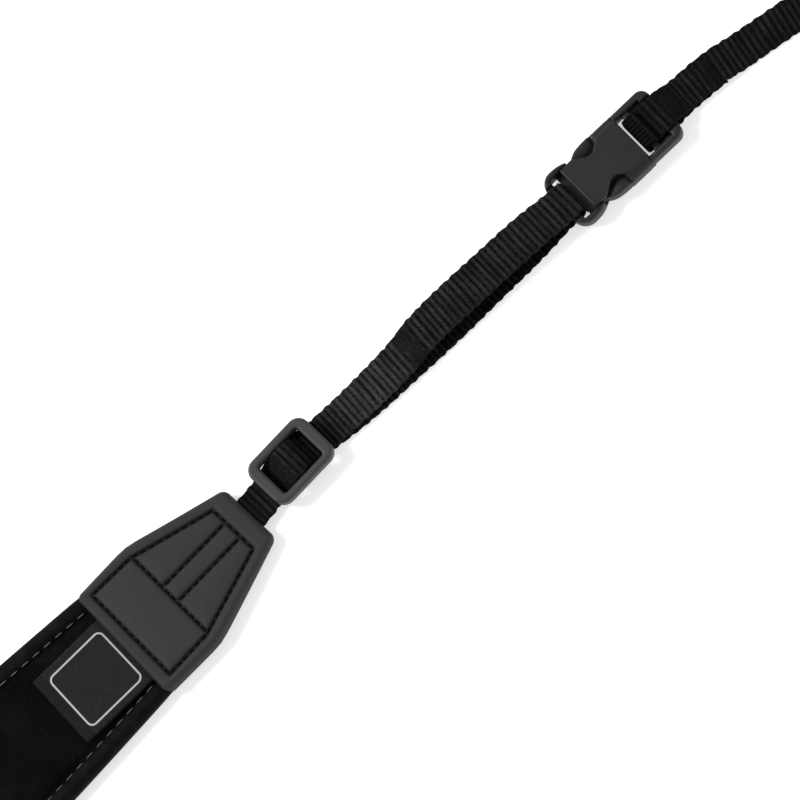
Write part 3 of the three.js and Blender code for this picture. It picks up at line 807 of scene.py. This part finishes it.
GAP = 0.3
SNUG = 0.25
ON_TABLE = WEB_THICK / 2
SECOND_PLY = ON_TABLE + WEB_THICK + 0.1
IN_TAB = 2.5
UNDER_SLIDER = SLIDER_BOTTOM - GAP - WEB_THICK / 2
OVER_MIDDLE = MIDDLE_BAR_TOP + 0.2 + WEB_THICK / 2
OVER_WRAP = OVER_MIDDLE + WEB_THICK + 0.05
OVER_BAR = BAR_TOP + SNUG + WEB_THICK / 2
UNDER_BAR = BAR_BOTTOM - SNUG - WEB_THICK / 2
BESIDE_BAR = GAP + WEB_THICK / 2
PLUG_BAR_ROUND = PLUG_BAR + 0.35
EYE_ROUND = 3.1
FOLD_BACK = 18.1
EYE_FOLD = 37.5

# Upper ply from slider to plug: share of the way, share of the rise to the plug's bar, side offset
UPPER_PLY = [
    (0.164, 0.42, 0.3), (0.348, 0.63, 0.5), (0.429, 0.81, 1.8), (0.682, 0.94, 1.35), (0.889, 1.0, 0.8),
]

# Lower ply from plug to slider: share of the way, side offset
LOWER_PLY = [(0.889, -0.2), (0.682, -0.6), (0.348, -0.8), (0.106, -0.4)]

# Half width of the webbing along the strap
WEB_HALVES = np.array([
    (240, 5.05), (279, 5.05), (292, 5.2), (301, 5.4), (336, 5.45), (350, 5.15), (391, 5.2), (396, 5.0),
])

# Painted light and shade along the strap: how pale the ribs are, paler where the webbing faces the light and
# darker where it lies in the shade of the slider and the buckle
WEB_PAINTED_LIGHT = np.array([
    (240, 0.5), (246, 0.85), (254, 0.95), (258, 0.5), (268, 0.75), (276, 1.5), (290, 1.4), (300, 0.97),
    (350, 0.85), (385, 0.6),
])

# Width of a column of warp threads in millimetres
WEB_COLUMN = 1.15

# Painted shade: how much darker the ply is that runs back underneath
UNDER_SHADE = 0.45

# Places where the webbing is sewn flat or folded: from, to, and 1 or -1 for the ply that runs that way
ADJUSTER_SEWN = [(246, 254.5, 1), (295.5, 302.1, 1)]
CAMERA_SEWN = [(388.9, 395.5, 1), (403.9, 407.9, 1), (462, 466, -1), (468, 472, -1)]
CAMERA_FOLDS = [(376, 382.8, 1), (376, 382.8, -1)]


def turn_round(edge, way, low, high, side=0.0):
    """Guide points round the side of a bar from the top down, as (along, height, side)."""
    out = edge + way * BESIDE_BAR
    return [
        (edge - way, high, side), (out, high, side), (out, high - 1, side),
        (out, low + 1, side), (out, low, side), (edge - way, low, side),
    ]


def adjuster_guides():
    middle = SLIDER_START + SLIDER_LENGTH / 2
    near = SLIDER_START + SLIDER_END_BAR
    out = SLIDER_START + SLIDER_LENGTH
    far = out - SLIDER_END_BAR
    run = BUCKLE_START - out
    side = SLIDER_SIDE
    upper = [(out + share * run, rise * OVER_BAR, offset) for share, rise, offset in UPPER_PLY]
    lower = [(out + share * run, ON_TABLE, offset) for share, offset in LOWER_PLY]
    return [
        (TAB_TIP - 16, IN_TAB, 0), (TAB_TIP - 6, IN_TAB, 0), (TAB_TIP + 1, IN_TAB, 0),
        (SLIDER_START, UNDER_SLIDER, 0.6 * side), (near + 1, UNDER_SLIDER, 1.6 * side),
        (middle - 3, OVER_WRAP - 0.4, 1.1 * side), (middle, OVER_WRAP + 0.2, 1.1 * side),
        (middle + 2.6, OVER_WRAP - 0.2, 1.2 * side), (far - 0.9, UNDER_SLIDER, 1.6 * side),
        (out + 1, UNDER_SLIDER, 0.7 * side),
        *upper,
        (BUCKLE_START - 2, OVER_BAR, 0),
        *turn_round(BUCKLE_START + PLUG_BAR_ROUND, 1, UNDER_BAR, OVER_BAR),
        (BUCKLE_START - 2, UNDER_BAR, 0),
        *lower,
        (far, ON_TABLE, 1.5 * side), (middle + 4.6, (ON_TABLE + UNDER_SLIDER) / 2, 1.4 * side),
        (middle + 2.6, UNDER_SLIDER, 1.2 * side),
        *reversed(turn_round(middle - MIDDLE_BAR_HALF, -1, UNDER_SLIDER, OVER_MIDDLE, side)),
        (middle + 1.2, OVER_MIDDLE, side), (middle + 2, OVER_MIDDLE - 0.3, side),
    ]


def camera_guides():
    inner = BUCKLE_START + INNER_BAR[0]
    inner_end = BUCKLE_START + INNER_BAR[1]
    outer = BUCKLE_START + OUTER_BAR[0]
    end = BUCKLE_START + BUCKLE_LENGTH
    side = CAMERA_SIDE
    eye_tip = EYE_END - WEB_THICK / 2
    eye_back = eye_tip - 2 * EYE_ROUND
    top = ON_TABLE + 2 * EYE_ROUND

    def fold(share, height, offset=side):
        return (end + share * FOLD_BACK, height, offset)

    def eye(share, height):
        return (EYE_END - share * EYE_FOLD, height, side)

    return [
        fold(1, ON_TABLE), fold(0.6, ON_TABLE), fold(0.17, ON_TABLE), (end, UNDER_BAR, 0),
        (outer, UNDER_BAR, 0),
        *reversed(turn_round(inner, -1, UNDER_BAR, OVER_BAR)),
        (inner_end + 0.1, OVER_BAR, 0), (inner_end + 0.9, OVER_BAR - 2.6, 0),
        (outer - 1.9, OVER_BAR - 2.1, 0), (outer - 0.9, OVER_BAR, 0),
        (end + 1.3, OVER_BAR, 0), fold(0.28, SECOND_PLY), fold(0.44, SECOND_PLY),
        fold(0.75, SECOND_PLY), fold(1.08, SECOND_PLY), fold(1.3, ON_TABLE), fold(1.7, ON_TABLE),
        eye(0.65, ON_TABLE), (eye_back, ON_TABLE, side), (eye_tip, ON_TABLE, side),
        (eye_tip, top, side), (eye_back, top, side),
        eye(0.44, top), eye(0.65, SECOND_PLY), eye(0.79, SECOND_PLY), eye(1, SECOND_PLY),
    ]


def smooth_path(guides, step):
    """Even samples of a smooth path that stays inside the bends of its guide points."""
    points = np.array(guides, float)
    start = points[0]
    pieces = []
    share = np.linspace(0, 1, 80, endpoint=False)[:, None]
    for i in range(1, len(points) - 1):
        end = (points[i] + points[i + 1]) / 2
        pieces.append((1 - share) ** 2 * start + 2 * share * (1 - share) * points[i] + share**2 * end)
        start = end
    pieces.append(start + np.linspace(0, 1, 80)[:, None] * (points[-1] - start))
    path = np.vstack(pieces)
    travel = travel_along(path)
    even = np.linspace(0, travel[-1], int(travel[-1] / step) + 1)
    path = np.stack([np.interp(even, travel, path[:, k]) for k in range(3)], -1)
    way = np.gradient(path, axis=0)
    return even, path, np.arctan2(way[:, 1], way[:, 0])


def zone_share(along, angle, zones, soft):
    """1 inside zones of (from, to, way) on the ply that runs that way, and less near their ends."""
    share = np.zeros(along.shape)
    for low, high, way in zones:
        inside = np.clip((along - low) / soft, 0, 1) * np.clip((high - along) / soft, 0, 1)
        share = np.maximum(share, inside * (np.sign(np.cos(angle)) == way))
    return share * share * (3 - 2 * share)


def rib_wave(travel, pitch, shift):
    """Round ribs with narrow valleys, from 0 in the valleys to 1 on the crests."""
    return np.abs(np.cos(math.pi * (travel / pitch + shift))) ** 0.8


# Points across the webbing as shares of its half width, and its thickness there as a share
BAND_HALF = np.array([1, 0.985, 0.94, 0.84, 0.7, 0.5, 0.3, 0.1])
BAND_SHARES = np.concatenate([BAND_HALF, -BAND_HALF[::-1]])
BAND_EDGE = np.interp(np.abs(BAND_SHARES), [0.84, 0.94, 0.985, 1], [1, 0.88, 0.6, 0.25])


def band_mesh(name, guides, sewn_zones, fold_zones, sizes, step):
    """A ribbed band with scalloped edges along a path."""
    travel, path, angle = smooth_path(guides, step)
    pitch = sizes.rib_pitch
    run = travel[:, None]
    tilt = angle[:, None]
    middle = path[:, :1]
    along = middle + 0.3 * np.sin(BAND_SHARES * 8.0)
    sewn = zone_share(along, tilt, sewn_zones, 1.8)
    fold = zone_share(middle + 0 * BAND_SHARES, tilt, fold_zones, 0.8)
    wander = 0.24 * np.sin(run / 8.3) + 0.16 * np.sin(run / 2.9 + 1.0)
    lean = BAND_SHARES * (0.12 * np.sin(run / 19.0 + 0.6) - 0.1)
    lean = lean + 0.05 * np.sin(run / 5.7 + BAND_SHARES * 2.4)
    ribs = rib_wave(run + wander + lean, pitch, 0.0)
    back_ribs = rib_wave(run + wander + lean, pitch, 0.5)
    flat = np.maximum(sewn, fold)
    depth = sizes.rib_depth * (1 - 0.8 * flat) * (1 + 0.3 * np.sin(run / 3.3))
    scallop = 0.3 * np.abs(np.cos(math.pi * (run + wander) / (2 * pitch))) - 0.24
    scallop = scallop + 0.14 * np.abs(np.cos(math.pi * (run / pitch) * 0.83)) + 0.06 * np.sin(run / 4.7)
    half = read(WEB_HALVES, middle)
    side = BAND_SHARES * (half + scallop * (1 - 0.6 * flat[:, :1]))
    soft = np.minimum(1, BAND_EDGE * 1.6)
    top = BAND_EDGE * WEB_THICK / 2 + depth * (ribs - 0.8) * soft
    bottom = -BAND_EDGE * WEB_THICK / 2 - depth * (back_ribs - 0.8) * soft
    across = np.hstack([side, side[:, ::-1]]) + path[:, 2:]
    up = np.hstack([top, bottom[:, ::-1]])
    height = path[:, 1:2] + up * np.cos(tilt)
    rings = place(middle - up * np.sin(tilt), across, np.maximum(height, 0.0))
    v = np.concatenate([BAND_SHARES, BAND_SHARES[::-1], BAND_SHARES[:1]]) * WEB_HALF * MM
    mesh = loft(name, rings, travel * MM, v)
    # Painted light and shade along the strap, with painted shade on the ply that runs back underneath
    under = (1 - np.cos(tilt)) / 2 * (middle < EYE_END - EYE_FOLD)
    painted_light = read(WEB_PAINTED_LIGHT, along) * (1 - UNDER_SHADE * under)
    set_values(mesh, "sewn", np.hstack([sewn, sewn[:, ::-1]]))
    # The rib profile, which the material turns into painted light on the crests and painted shade in the
    # valleys
    set_values(mesh, "crest", np.hstack([ribs, back_ribs[:, ::-1]]))
    set_values(mesh, "fold", np.hstack([fold, fold]))
    set_values(mesh, "painted_light", np.hstack([painted_light, painted_light]))
    smooth_shade(mesh, 75)
    return mesh


# Moulded plates of the slider and the buckle


def arc(centre, radius, start, end, count=10):
    angles = np.radians(np.linspace(start, end, count))
    return [(centre[0] + radius * math.cos(a), centre[1] + radius * math.sin(a)) for a in angles]


def bend(start, control, end, count=10):
    points = []
    for share in np.linspace(0, 1, count):
        a, b, c = (1 - share) ** 2, 2 * share * (1 - share), share**2
        points.append(tuple(a * start[k] + b * control[k] + c * end[k] for k in (0, 1)))
    return points


def upside_down(points):
    """The same outline points on the -Y side, in the order that carries on."""
    return [(x, -y) for x, y in reversed(points)]


def rounded_box(x0, x1, half, corner):
    low = corner - half
    lower = arc((x0 + corner, low), corner, 180, 270) + arc((x1 - corner, low), corner, 270, 360)
    return lower + upside_down(lower)


def moulded(outlines, bottom, top, edge):
    """A plate with rounded edges from an outline and the outlines of its holes."""
    curve = bpy.data.curves.new("plate", "CURVE")
    curve.dimensions = "2D"
    curve.fill_mode = "BOTH"
    curve.bevel_depth = edge
    curve.offset = -edge
    curve.bevel_resolution = 3
    curve.extrude = (top - bottom) / 2 - edge
    for outline in outlines:
        spline = curve.splines.new("POLY")
        spline.points.add(len(outline) - 1)
        for point, (x, y) in zip(spline.points, outline):
            point.co = (x, y, 0, 1)
        spline.use_cyclic_u = True
    obj = link("plate", curve)
    bpy.context.view_layer.update()
    shown = obj.evaluated_get(bpy.context.evaluated_depsgraph_get())
    mesh = bpy.data.meshes.new_from_object(shown)
    bpy.data.objects.remove(obj)
    bpy.data.curves.remove(curve)
    mesh.transform(Matrix.Translation((0, 0, (top + bottom) / 2)))
    return mesh


def moulded_pair(outline, bottom, top, edge):
    """Two plates, from an outline on one side and from the same outline on the other side."""
    return [moulded([side], bottom, top, edge) for side in (outline, upside_down(outline))]


def bar(x0, x1, half):
    return moulded([rounded_box(x0, x1, half, BAR_ROUND)], BAR_BOTTOM, BAR_TOP, BAR_ROUND)


def seated(name, meshes, start, length, side=0.0):
    """Joins plates and moves them from their own x, in millimetres, to their place on the strap."""
    mesh = joined(name, meshes)
    centre = start + length / 2
    mesh.transform(Matrix.Translation((-length / 2, 0, 0)))
    mesh.transform(Matrix.Rotation(-float(turned(centre)), 4, "Z") @ Matrix.Scale(MM, 4))
    mesh.transform(Matrix.Translation(Vector(place(centre, side, 0))))
    smooth_shade(mesh, 40)
    return mesh


def slider_mesh():
    outer = rounded_box(0, SLIDER_LENGTH, SLIDER_HALF, SLIDER_CORNER)
    far = SLIDER_LENGTH - SLIDER_END_BAR
    window = rounded_box(SLIDER_END_BAR, far, SLIDER_HALF - SLIDER_SIDE_BAR, 0.8)
    middle = SLIDER_LENGTH / 2
    across = rounded_box(middle - MIDDLE_BAR_HALF, middle + MIDDLE_BAR_HALF, SLIDER_HALF - 1.3, 0.3)
    plates = [
        moulded([outer, window], SLIDER_BOTTOM, SLIDER_TOP, 0.75),
        moulded([across], SLIDER_BOTTOM, MIDDLE_BAR_TOP, 0.3),
    ]
    return seated("slider", plates, SLIDER_START, SLIDER_LENGTH, SLIDER_SIDE)


def edge_rows(start, end, step, edge):
    """Places along a plate that are close together at its two ends."""
    near = edge * np.array([0.0, 0.06, 0.2, 0.45, 0.75, 1.0])
    count = max(2, int((end - start - 2 * edge) / step))
    middle = np.linspace(start + edge, end - edge, count + 1)[1:-1]
    return np.concatenate([start + near, middle, end - near[::-1]])


def fall(distance, radius):
    """How far a rounded edge has dropped at a distance from it."""
    return radius * (1 - np.sqrt(1 - (1 - np.clip(distance / radius, 0, 1)) ** 2))


def sculpted(rows, sides, top, bottom, rounds, points=24):
    """A plate in millimetres whose two long edges and faces follow functions of x and y."""
    shares = np.sin(np.linspace(math.pi / 2, -math.pi / 2, points))
    rings = []
    for x in rows:
        low, high = sides(x)
        y = (high + low) / 2 + shares * (high - low) / 2
        to_edge = np.minimum(np.minimum(high - y, y - low), np.minimum(x - rows[0], rows[-1] - x))
        upper = top(x, y) - fall(to_edge, rounds[0])
        lower = bottom(x, y) + fall(to_edge, rounds[1])
        side = np.concatenate([y, y[::-1]])
        rings.append(np.stack([np.full_like(side, x), side, np.concatenate([upper, lower[::-1]])], -1))
    v = np.linspace(0, 1, 2 * points + 1)
    return loft("plate", np.array(rings), rows, v)


# Half width of the socket's raised face along x, and of the buckle's outside at the buttons
FACE_HALVES = np.array([
    (6.2, 6.85), (10.3, 7.0), (11.4, 6.5), (12.6, 5.5), (13.8, 4.7), (15.0, 4.35), (16.2, 4.6),
    (17.4, 5.5), (18.6, 6.4), (19.8, 6.85), (25.8, 6.9),
])
BUTTON_HALVES = np.array([
    (10.3, 7.25), (11.0, 7.75), (11.6, 8.1), (12.7, 8.5), (13.8, 8.7), (15.5, 8.85), (18, 8.9),
])


def level(height):
    return lambda x, y: np.full_like(y, height)


def plug_rim():
    """The rim of the plug's frame beside its slot, on the +Y side."""
    corner = 4.0
    tip = 5.9
    lift = BUCKLE_HALF - corner
    tip_angle = 180 - math.degrees(math.asin((tip - lift) / corner))
    rim = bend((RIM_END, 7.9), (7.2, BUCKLE_HALF), (corner, BUCKLE_HALF))
    rim += arc((corner, lift), corner, 90, tip_angle)
    return rim + [(PLUG_BAR, tip), (PLUG_BAR, 7.0), (PLUG_SLOT_END, 7.1), (RIM_END, 7.2)]


def plug_neck():
    """Outline of the thin plate under the socket's lip, which joins both rims."""
    neck = [(PLUG_SLOT_END - 0.25, -5.3), (PLUG_SLOT_END, -5.4)]
    neck += bend((PLUG_SLOT_END, 0.3 - BUCKLE_HALF), (7.9, 0.2 - BUCKLE_HALF), (PLUG_END, -7.25))
    return neck + upside_down(neck)


def button(way):
    """The squeeze button on the +Y side (way 1) or the -Y side (-1), with a dish for a finger."""

    def sides(x):
        inner = read(FACE_HALVES, x) + 0.12
        outer = read(BUTTON_HALVES, x)
        return (inner, outer) if way > 0 else (-outer, -inner)

    def dished(x, y):
        out = np.abs(y) - read(FACE_HALVES, x)
        deep = DISH_DEPTH * math.exp(-(((x - DISH_MIDDLE) / 3.0) ** 2))
        return BUTTON_TOP - deep * np.exp(-((out / 1.6) ** 2))

    rows = edge_rows(PLUG_END, BUTTON_END - 0.02, 0.4, 0.5)
    return sculpted(rows, sides, dished, level(BUTTON_BOTTOM), (0.7, 0.5))


def plug_mesh():
    shoulder = rounded_box(SHOULDER_START, PLUG_END + 0.2, 7.12, 0.3)
    tongue = rounded_box(PLUG_END, TONGUE_END, TONGUE_HALF, 0.4)
    plates = moulded_pair(plug_rim(), RIM_BOTTOM, RIM_TOP, RIM_ROUND)
    plates.append(moulded([plug_neck()], NECK_BOTTOM, NECK_TOP, 0.15))
    plates.append(bar(0, PLUG_BAR, 6.2))
    plates.append(moulded([shoulder], NECK_BOTTOM, SHOULDER_TOP, 0.2))
    plates.append(moulded([tongue], BAR_BOTTOM + 0.2, BAR_TOP - 0.2, 0.4))
    return seated("buckle_plug", [*plates, button(1), button(-1)], BUCKLE_START, BUCKLE_LENGTH)


def socket_face():
    """The raised face: a lip over the plug, a waist between the buttons, and a broad end."""

    def beneath(x, y):
        if x < PLUG_END + 0.3:
            return np.full_like(y, LIP_BOTTOM)
        return np.where((np.abs(y) > 4.9) & (x < BUTTON_END), 1.7, 0.0)

    return sculpted(
        edge_rows(LIP_START, BODY_END, 0.3, 0.5),
        lambda x: (-read(FACE_HALVES, x), read(FACE_HALVES, x)),
        lambda x, y: FACE_TOP - 0.1 * (y / 7) ** 2,
        beneath,
        (0.45, 0.2),
    )


def socket_body():
    """The closed box behind the buttons, a little narrower where the legs begin."""

    def sides(x):
        half = BUCKLE_HALF - 0.05 * (x > 24)
        return -half, half

    return sculpted(
        edge_rows(BUTTON_END + 0.03, BODY_END, 0.4, 0.6),
        sides,
        lambda x, y: BODY_TOP - 0.5 * np.clip((np.abs(y) - 7.0) / 0.3, 0, 1),
        level(BODY_BOTTOM),
        (1.5, 1.2),
        points=36,
    )


def socket_leg():
    """Outline of the leg on the -Y side, with a foot beside the outer bar."""
    half = BUCKLE_HALF - 0.25
    corner = 2.6
    start = BODY_END - 0.5
    end = BUCKLE_LENGTH
    leg = [(start, -half)] + arc((end - corner, corner - half), corner, 270, 360)
    return leg + [(end, -SLOT_HALF), (OUTER_BAR[0], -SLOT_HALF), (OUTER_BAR[0], -6.7), (start, -6.7)]


def socket_mesh():
    start, end = LEDGE
    ledge = [(start, SLOT_HALF), (end, SLOT_HALF), (end, BARS_HALF), (start, BARS_HALF)]
    plates = [socket_face(), socket_body()]
    plates += moulded_pair(socket_leg(), RIM_BOTTOM, LEG_TOP, RIM_ROUND)
    plates += [bar(*INNER_BAR, BARS_HALF), bar(*OUTER_BAR, BARS_HALF)]
    plates += moulded_pair(ledge, RIM_BOTTOM + 0.2, BAR_TOP - 1.2, 0.2)
    return seated("buckle_socket", plates, BUCKLE_START, BUCKLE_LENGTH)


# Properties


class StrapSizes(bpy.types.PropertyGroup):
    """Fine sizes of the cloth, in millimetres."""

    rib_pitch: FloatProperty(name="Rib pitch", description="Distance between two ribs", default=1.72)
    rib_depth: FloatProperty(name="Rib depth", description="How far a rib stands out", default=0.34)
    stitch_pitch: FloatProperty(name="Pad stitch", description="Distance between two stitches", default=3.85)
    stitch_length: FloatProperty(name="Stitch length", description="Length of a pad's stitch", default=2.4)
    tab_stitch: FloatProperty(name="Tab stitch", description="Distance between two stitches", default=2.3)


def grey_level(piece, default):
    return FloatProperty(name=piece, description=f"Grey level of the {piece.lower()}", default=default)


class StrapLooks(bpy.types.PropertyGroup):
    """Grey levels of the strap's materials."""

    pad: grey_level("Pad", 0.0048)
    binding: grey_level("Binding", 0.0045)
    label: grey_level("Label", 0.018)
    tab: grey_level("Tab", 0.0275)
    webbing: grey_level("Webbing", 0.016)
    slider: grey_level("Slider", 0.042)
    buckle: grey_level("Buckle", 0.0155)


class StrapStage(bpy.types.PropertyGroup):
    """The camera, the lights and the floor."""

    tilt: FloatProperty(name="Tilt", description="Camera's lean from upright in degrees", default=18.0)
    roll: FloatProperty(name="Roll", description="How steep the strap runs, in degrees", default=43.5)
    distance: FloatProperty(name="Distance", description="Camera to strap", default=1.2, unit="LENGTH")
    field: FloatProperty(name="Field", description="Width that shows", default=0.2105, unit="LENGTH")
    aim: FloatVectorProperty(
        name="Aim", description="Along and side of the picture's middle, mm", size=2, default=(47.66, 7.35)
    )
    floor: FloatProperty(name="Floor", description="Grey level of the floor", default=0.75)
    glow: FloatProperty(name="Glow", description="Light that the floor gives by itself", default=0.55)
    world: FloatProperty(name="World", description="Strength of the even light", default=0.4)


# Operators


class StrapOperator:
    bl_options = {"REGISTER", "UNDO"}

    def execute(self, context):
        self.build(context.scene)
        return {"FINISHED"}


class STRAP_OT_pad(StrapOperator, bpy.types.Operator):
    """Adds the foam pad with its nap and its seam stitches"""

    bl_idname = "strap.pad"
    bl_label = "Pad"

    def build(self, scene):
        sizes = scene.strap_sizes
        step = 1.5
        pad = add_piece(pad_mesh(step), pad_material(scene.strap_looks), ["neck_pad"])
        pitch = sizes.stitch_pitch * MM
        length = sizes.stitch_length * MM
        mesh = stitch_mesh("pad_stitches", pad_stitch_lines(), pitch, length, PAD_THREAD * MM)
        add_piece(mesh, thread_material("pad_thread", 0.14), [])


class STRAP_OT_bindings(StrapOperator, bpy.types.Operator):
    """Adds the folded binding along both edges of the pad"""

    bl_idname = "strap.bindings"
    bl_label = "Bindings"

    def build(self, scene):
        step = 0.9
        material = binding_material(scene.strap_looks)
        pitch = scene.strap_sizes.stitch_pitch
        for name, edge in (("binding_upper", 1), ("binding_lower", -1)):
            add_piece(binding_mesh(name, edge, step, pitch), material, ["pad_" + name])


class STRAP_OT_label(StrapOperator, bpy.types.Operator):
    """Adds the woven label on the pad's right end"""

    bl_idname = "strap.label"
    bl_label = "Label"

    def build(self, scene):
        mesh = label_mesh(0.4)
        label = add_piece(mesh, label_material(scene.strap_looks), ["woven_label"])


class STRAP_OT_tabs(StrapOperator, bpy.types.Operator):
    """Adds the front and back skins of the end tabs and their stitches"""

    bl_idname = "strap.tabs"
    bl_label = "End tabs"

    def build(self, scene):
        step = 0.3
        material = tab_material(scene.strap_looks)
        add_pair(tab_mesh(1, step), material, ["end_tab_front"])
        add_pair(tab_mesh(-1, step), material, ["end_tab_back"])
        pitch = scene.strap_sizes.tab_stitch * MM
        lines = tab_stitch_lines(1) + tab_stitch_lines(-1)
        mesh = stitch_mesh("tab_stitches", lines, pitch, 0.84 * pitch, TAB_THREAD * MM)
        add_pair(mesh, thread_material("tab_thread", 0.0015), [])


class STRAP_OT_webbing(StrapOperator, bpy.types.Operator):
    """Adds the ribbed webbing between tab and buckle and between buckle and camera"""

    bl_idname = "strap.webbing"
    bl_label = "Webbing"

    def build(self, scene):
        step = 0.24
        sizes = scene.strap_sizes
        material = webbing_material(scene.strap_looks)
        adjuster = band_mesh("adjuster_webbing", adjuster_guides(), ADJUSTER_SEWN, [], sizes, step)
        camera = band_mesh("camera_webbing", camera_guides(), CAMERA_SEWN, CAMERA_FOLDS, sizes, step)
        add_pair(adjuster, material, ["adjuster_webbing"])
        add_pair(camera, material, ["camera_webbing"])


class STRAP_OT_slider(StrapOperator, bpy.types.Operator):
    """Adds the moulded sliders"""

    bl_idname = "strap.slider"
    bl_label = "Sliders"

    def build(self, scene):
        material = plastic_material("slider_plastic", scene.strap_looks.slider)
        add_pair(slider_mesh(), material, ["slider"])


class STRAP_OT_buckle(StrapOperator, bpy.types.Operator):
    """Adds both halves of the side release buckles"""

    bl_idname = "strap.buckle"
    bl_label = "Buckles"

    def build(self, scene):
        material = plastic_material("buckle_plastic", scene.strap_looks.buckle)
        add_pair(plug_mesh(), material, ["buckle_plug"])
        add_pair(socket_mesh(), material, ["buckle_socket"])


class STRAP_OT_stage(StrapOperator, bpy.types.Operator):
    """Adds the floor, the lights and the camera"""

    bl_idname = "strap.stage"
    bl_label = "Stage"

    def build(self, scene):
        settings = scene.strap_stage
        add_floor(settings)
        add_lights(scene, settings)
        add_camera(scene, settings)


def add_floor(settings):
    reach = 4.0
    corners = [(-reach, -reach, 0), (reach, -reach, 0), (reach, reach, 0), (-reach, reach, 0)]
    mesh = mesh_from("floor", corners, [(0, 1, 2, 3)])
    mesh.materials.append(floor_material(settings.floor, settings.glow))
    obj = link("floor", mesh)
    obj.location.z = -0.02 * MM


def add_area(name, location, target, width, power):
    light = bpy.data.lights.new(name, "AREA")
    light.size = width
    light.energy = power
    obj = link(name, light)
    obj.location = location
    obj.rotation_euler = (Vector(target) - Vector(location)).to_track_quat("-Z", "Y").to_euler()


# Place along the strap that both lamps face
LIT_PLACE = 300


def add_lights(scene, settings):
    world = bpy.data.worlds.new("world")
    world.use_nodes = True
    background = world.node_tree.nodes["Background"]
    background.inputs["Color"].default_value = (1, 1, 1, 1)
    background.inputs["Strength"].default_value = settings.world
    scene.world = world
    target = place(LIT_PLACE, 0, 0)
    add_area("key_light", (-0.35, 0.75, 0.95), target, 0.5, 16.0)
    add_area("side_light", (1.0, -0.8, 0.22), target, 0.4, 5.0)
    scene.view_settings.view_transform = "Standard"
    scene.view_settings.look = "None"


# The direction in degrees in which the strap runs in the picture, and the place its aim is counted from
PICTURE_TURN = 3.1
PICTURE_START = (239.5, 2.4)


def add_camera(scene, settings):
    turn = math.radians(PICTURE_TURN)
    along_way = Vector((math.cos(turn), -math.sin(turn), 0))
    near_way = Vector((-math.sin(turn), -math.cos(turn), 0))
    start = Vector(place(*PICTURE_START, 0))
    aim = start + along_way * settings.aim[0] * MM + near_way * settings.aim[1] * MM
    tilt = math.radians(settings.tilt)
    roll = math.radians(settings.roll)
    back = near_way * math.sin(tilt) + Vector((0, 0, math.cos(tilt)))
    down = near_way * math.cos(tilt) - Vector((0, 0, math.sin(tilt)))
    right = along_way * math.cos(roll) + down * math.sin(roll)
    up = along_way * math.sin(roll) - down * math.cos(roll)
    data = bpy.data.cameras.new("camera")
    data.sensor_width = 36
    data.lens = 36 * settings.distance / settings.field
    data.clip_start = 0.01
    data.clip_end = 50
    obj = link("camera", data)
    basis = Matrix((right, up, back)).transposed()
    obj.matrix_world = Matrix.Translation(aim + back * settings.distance) @ basis.to_4x4()
    scene.camera = obj


class STRAP_PT_panel(bpy.types.Panel):
    """Sizes, looks and stage of the strap, with a button for each group of pieces"""

    bl_label = "Camera neck strap"
    bl_space_type = "VIEW_3D"
    bl_region_type = "UI"
    bl_category = "Strap"

    def draw(self, context):
        layout = self.layout
        for group in (context.scene.strap_sizes, context.scene.strap_looks, context.scene.strap_stage):
            box = layout.box()
            for name in group.__annotations__:
                box.prop(group, name)
        for operator in OPERATORS:
            layout.operator(operator.bl_idname)


GROUPS = (StrapSizes, StrapLooks, StrapStage)
OPERATORS = (
    STRAP_OT_pad, STRAP_OT_bindings, STRAP_OT_label, STRAP_OT_tabs,
    STRAP_OT_webbing, STRAP_OT_slider, STRAP_OT_buckle, STRAP_OT_stage,
)
CLASSES = (*GROUPS, *OPERATORS, STRAP_PT_panel)


def register():
    for cls in CLASSES:
        bpy.utils.register_class(cls)
    bpy.types.Scene.strap_sizes = PointerProperty(type=StrapSizes)
    bpy.types.Scene.strap_looks = PointerProperty(type=StrapLooks)
    bpy.types.Scene.strap_stage = PointerProperty(type=StrapStage)


def unregister():
    del bpy.types.Scene.strap_stage
    del bpy.types.Scene.strap_looks
    del bpy.types.Scene.strap_sizes
    for cls in reversed(CLASSES):
        bpy.utils.unregister_class(cls)


def main():
    register()
    bpy.ops.strap.pad()
    bpy.ops.strap.bindings()
    bpy.ops.strap.label()
    bpy.ops.strap.tabs()
    bpy.ops.strap.webbing()
    bpy.ops.strap.slider()
    bpy.ops.strap.buckle()
    bpy.ops.strap.stage()


if __name__ == "__main__":
    main()
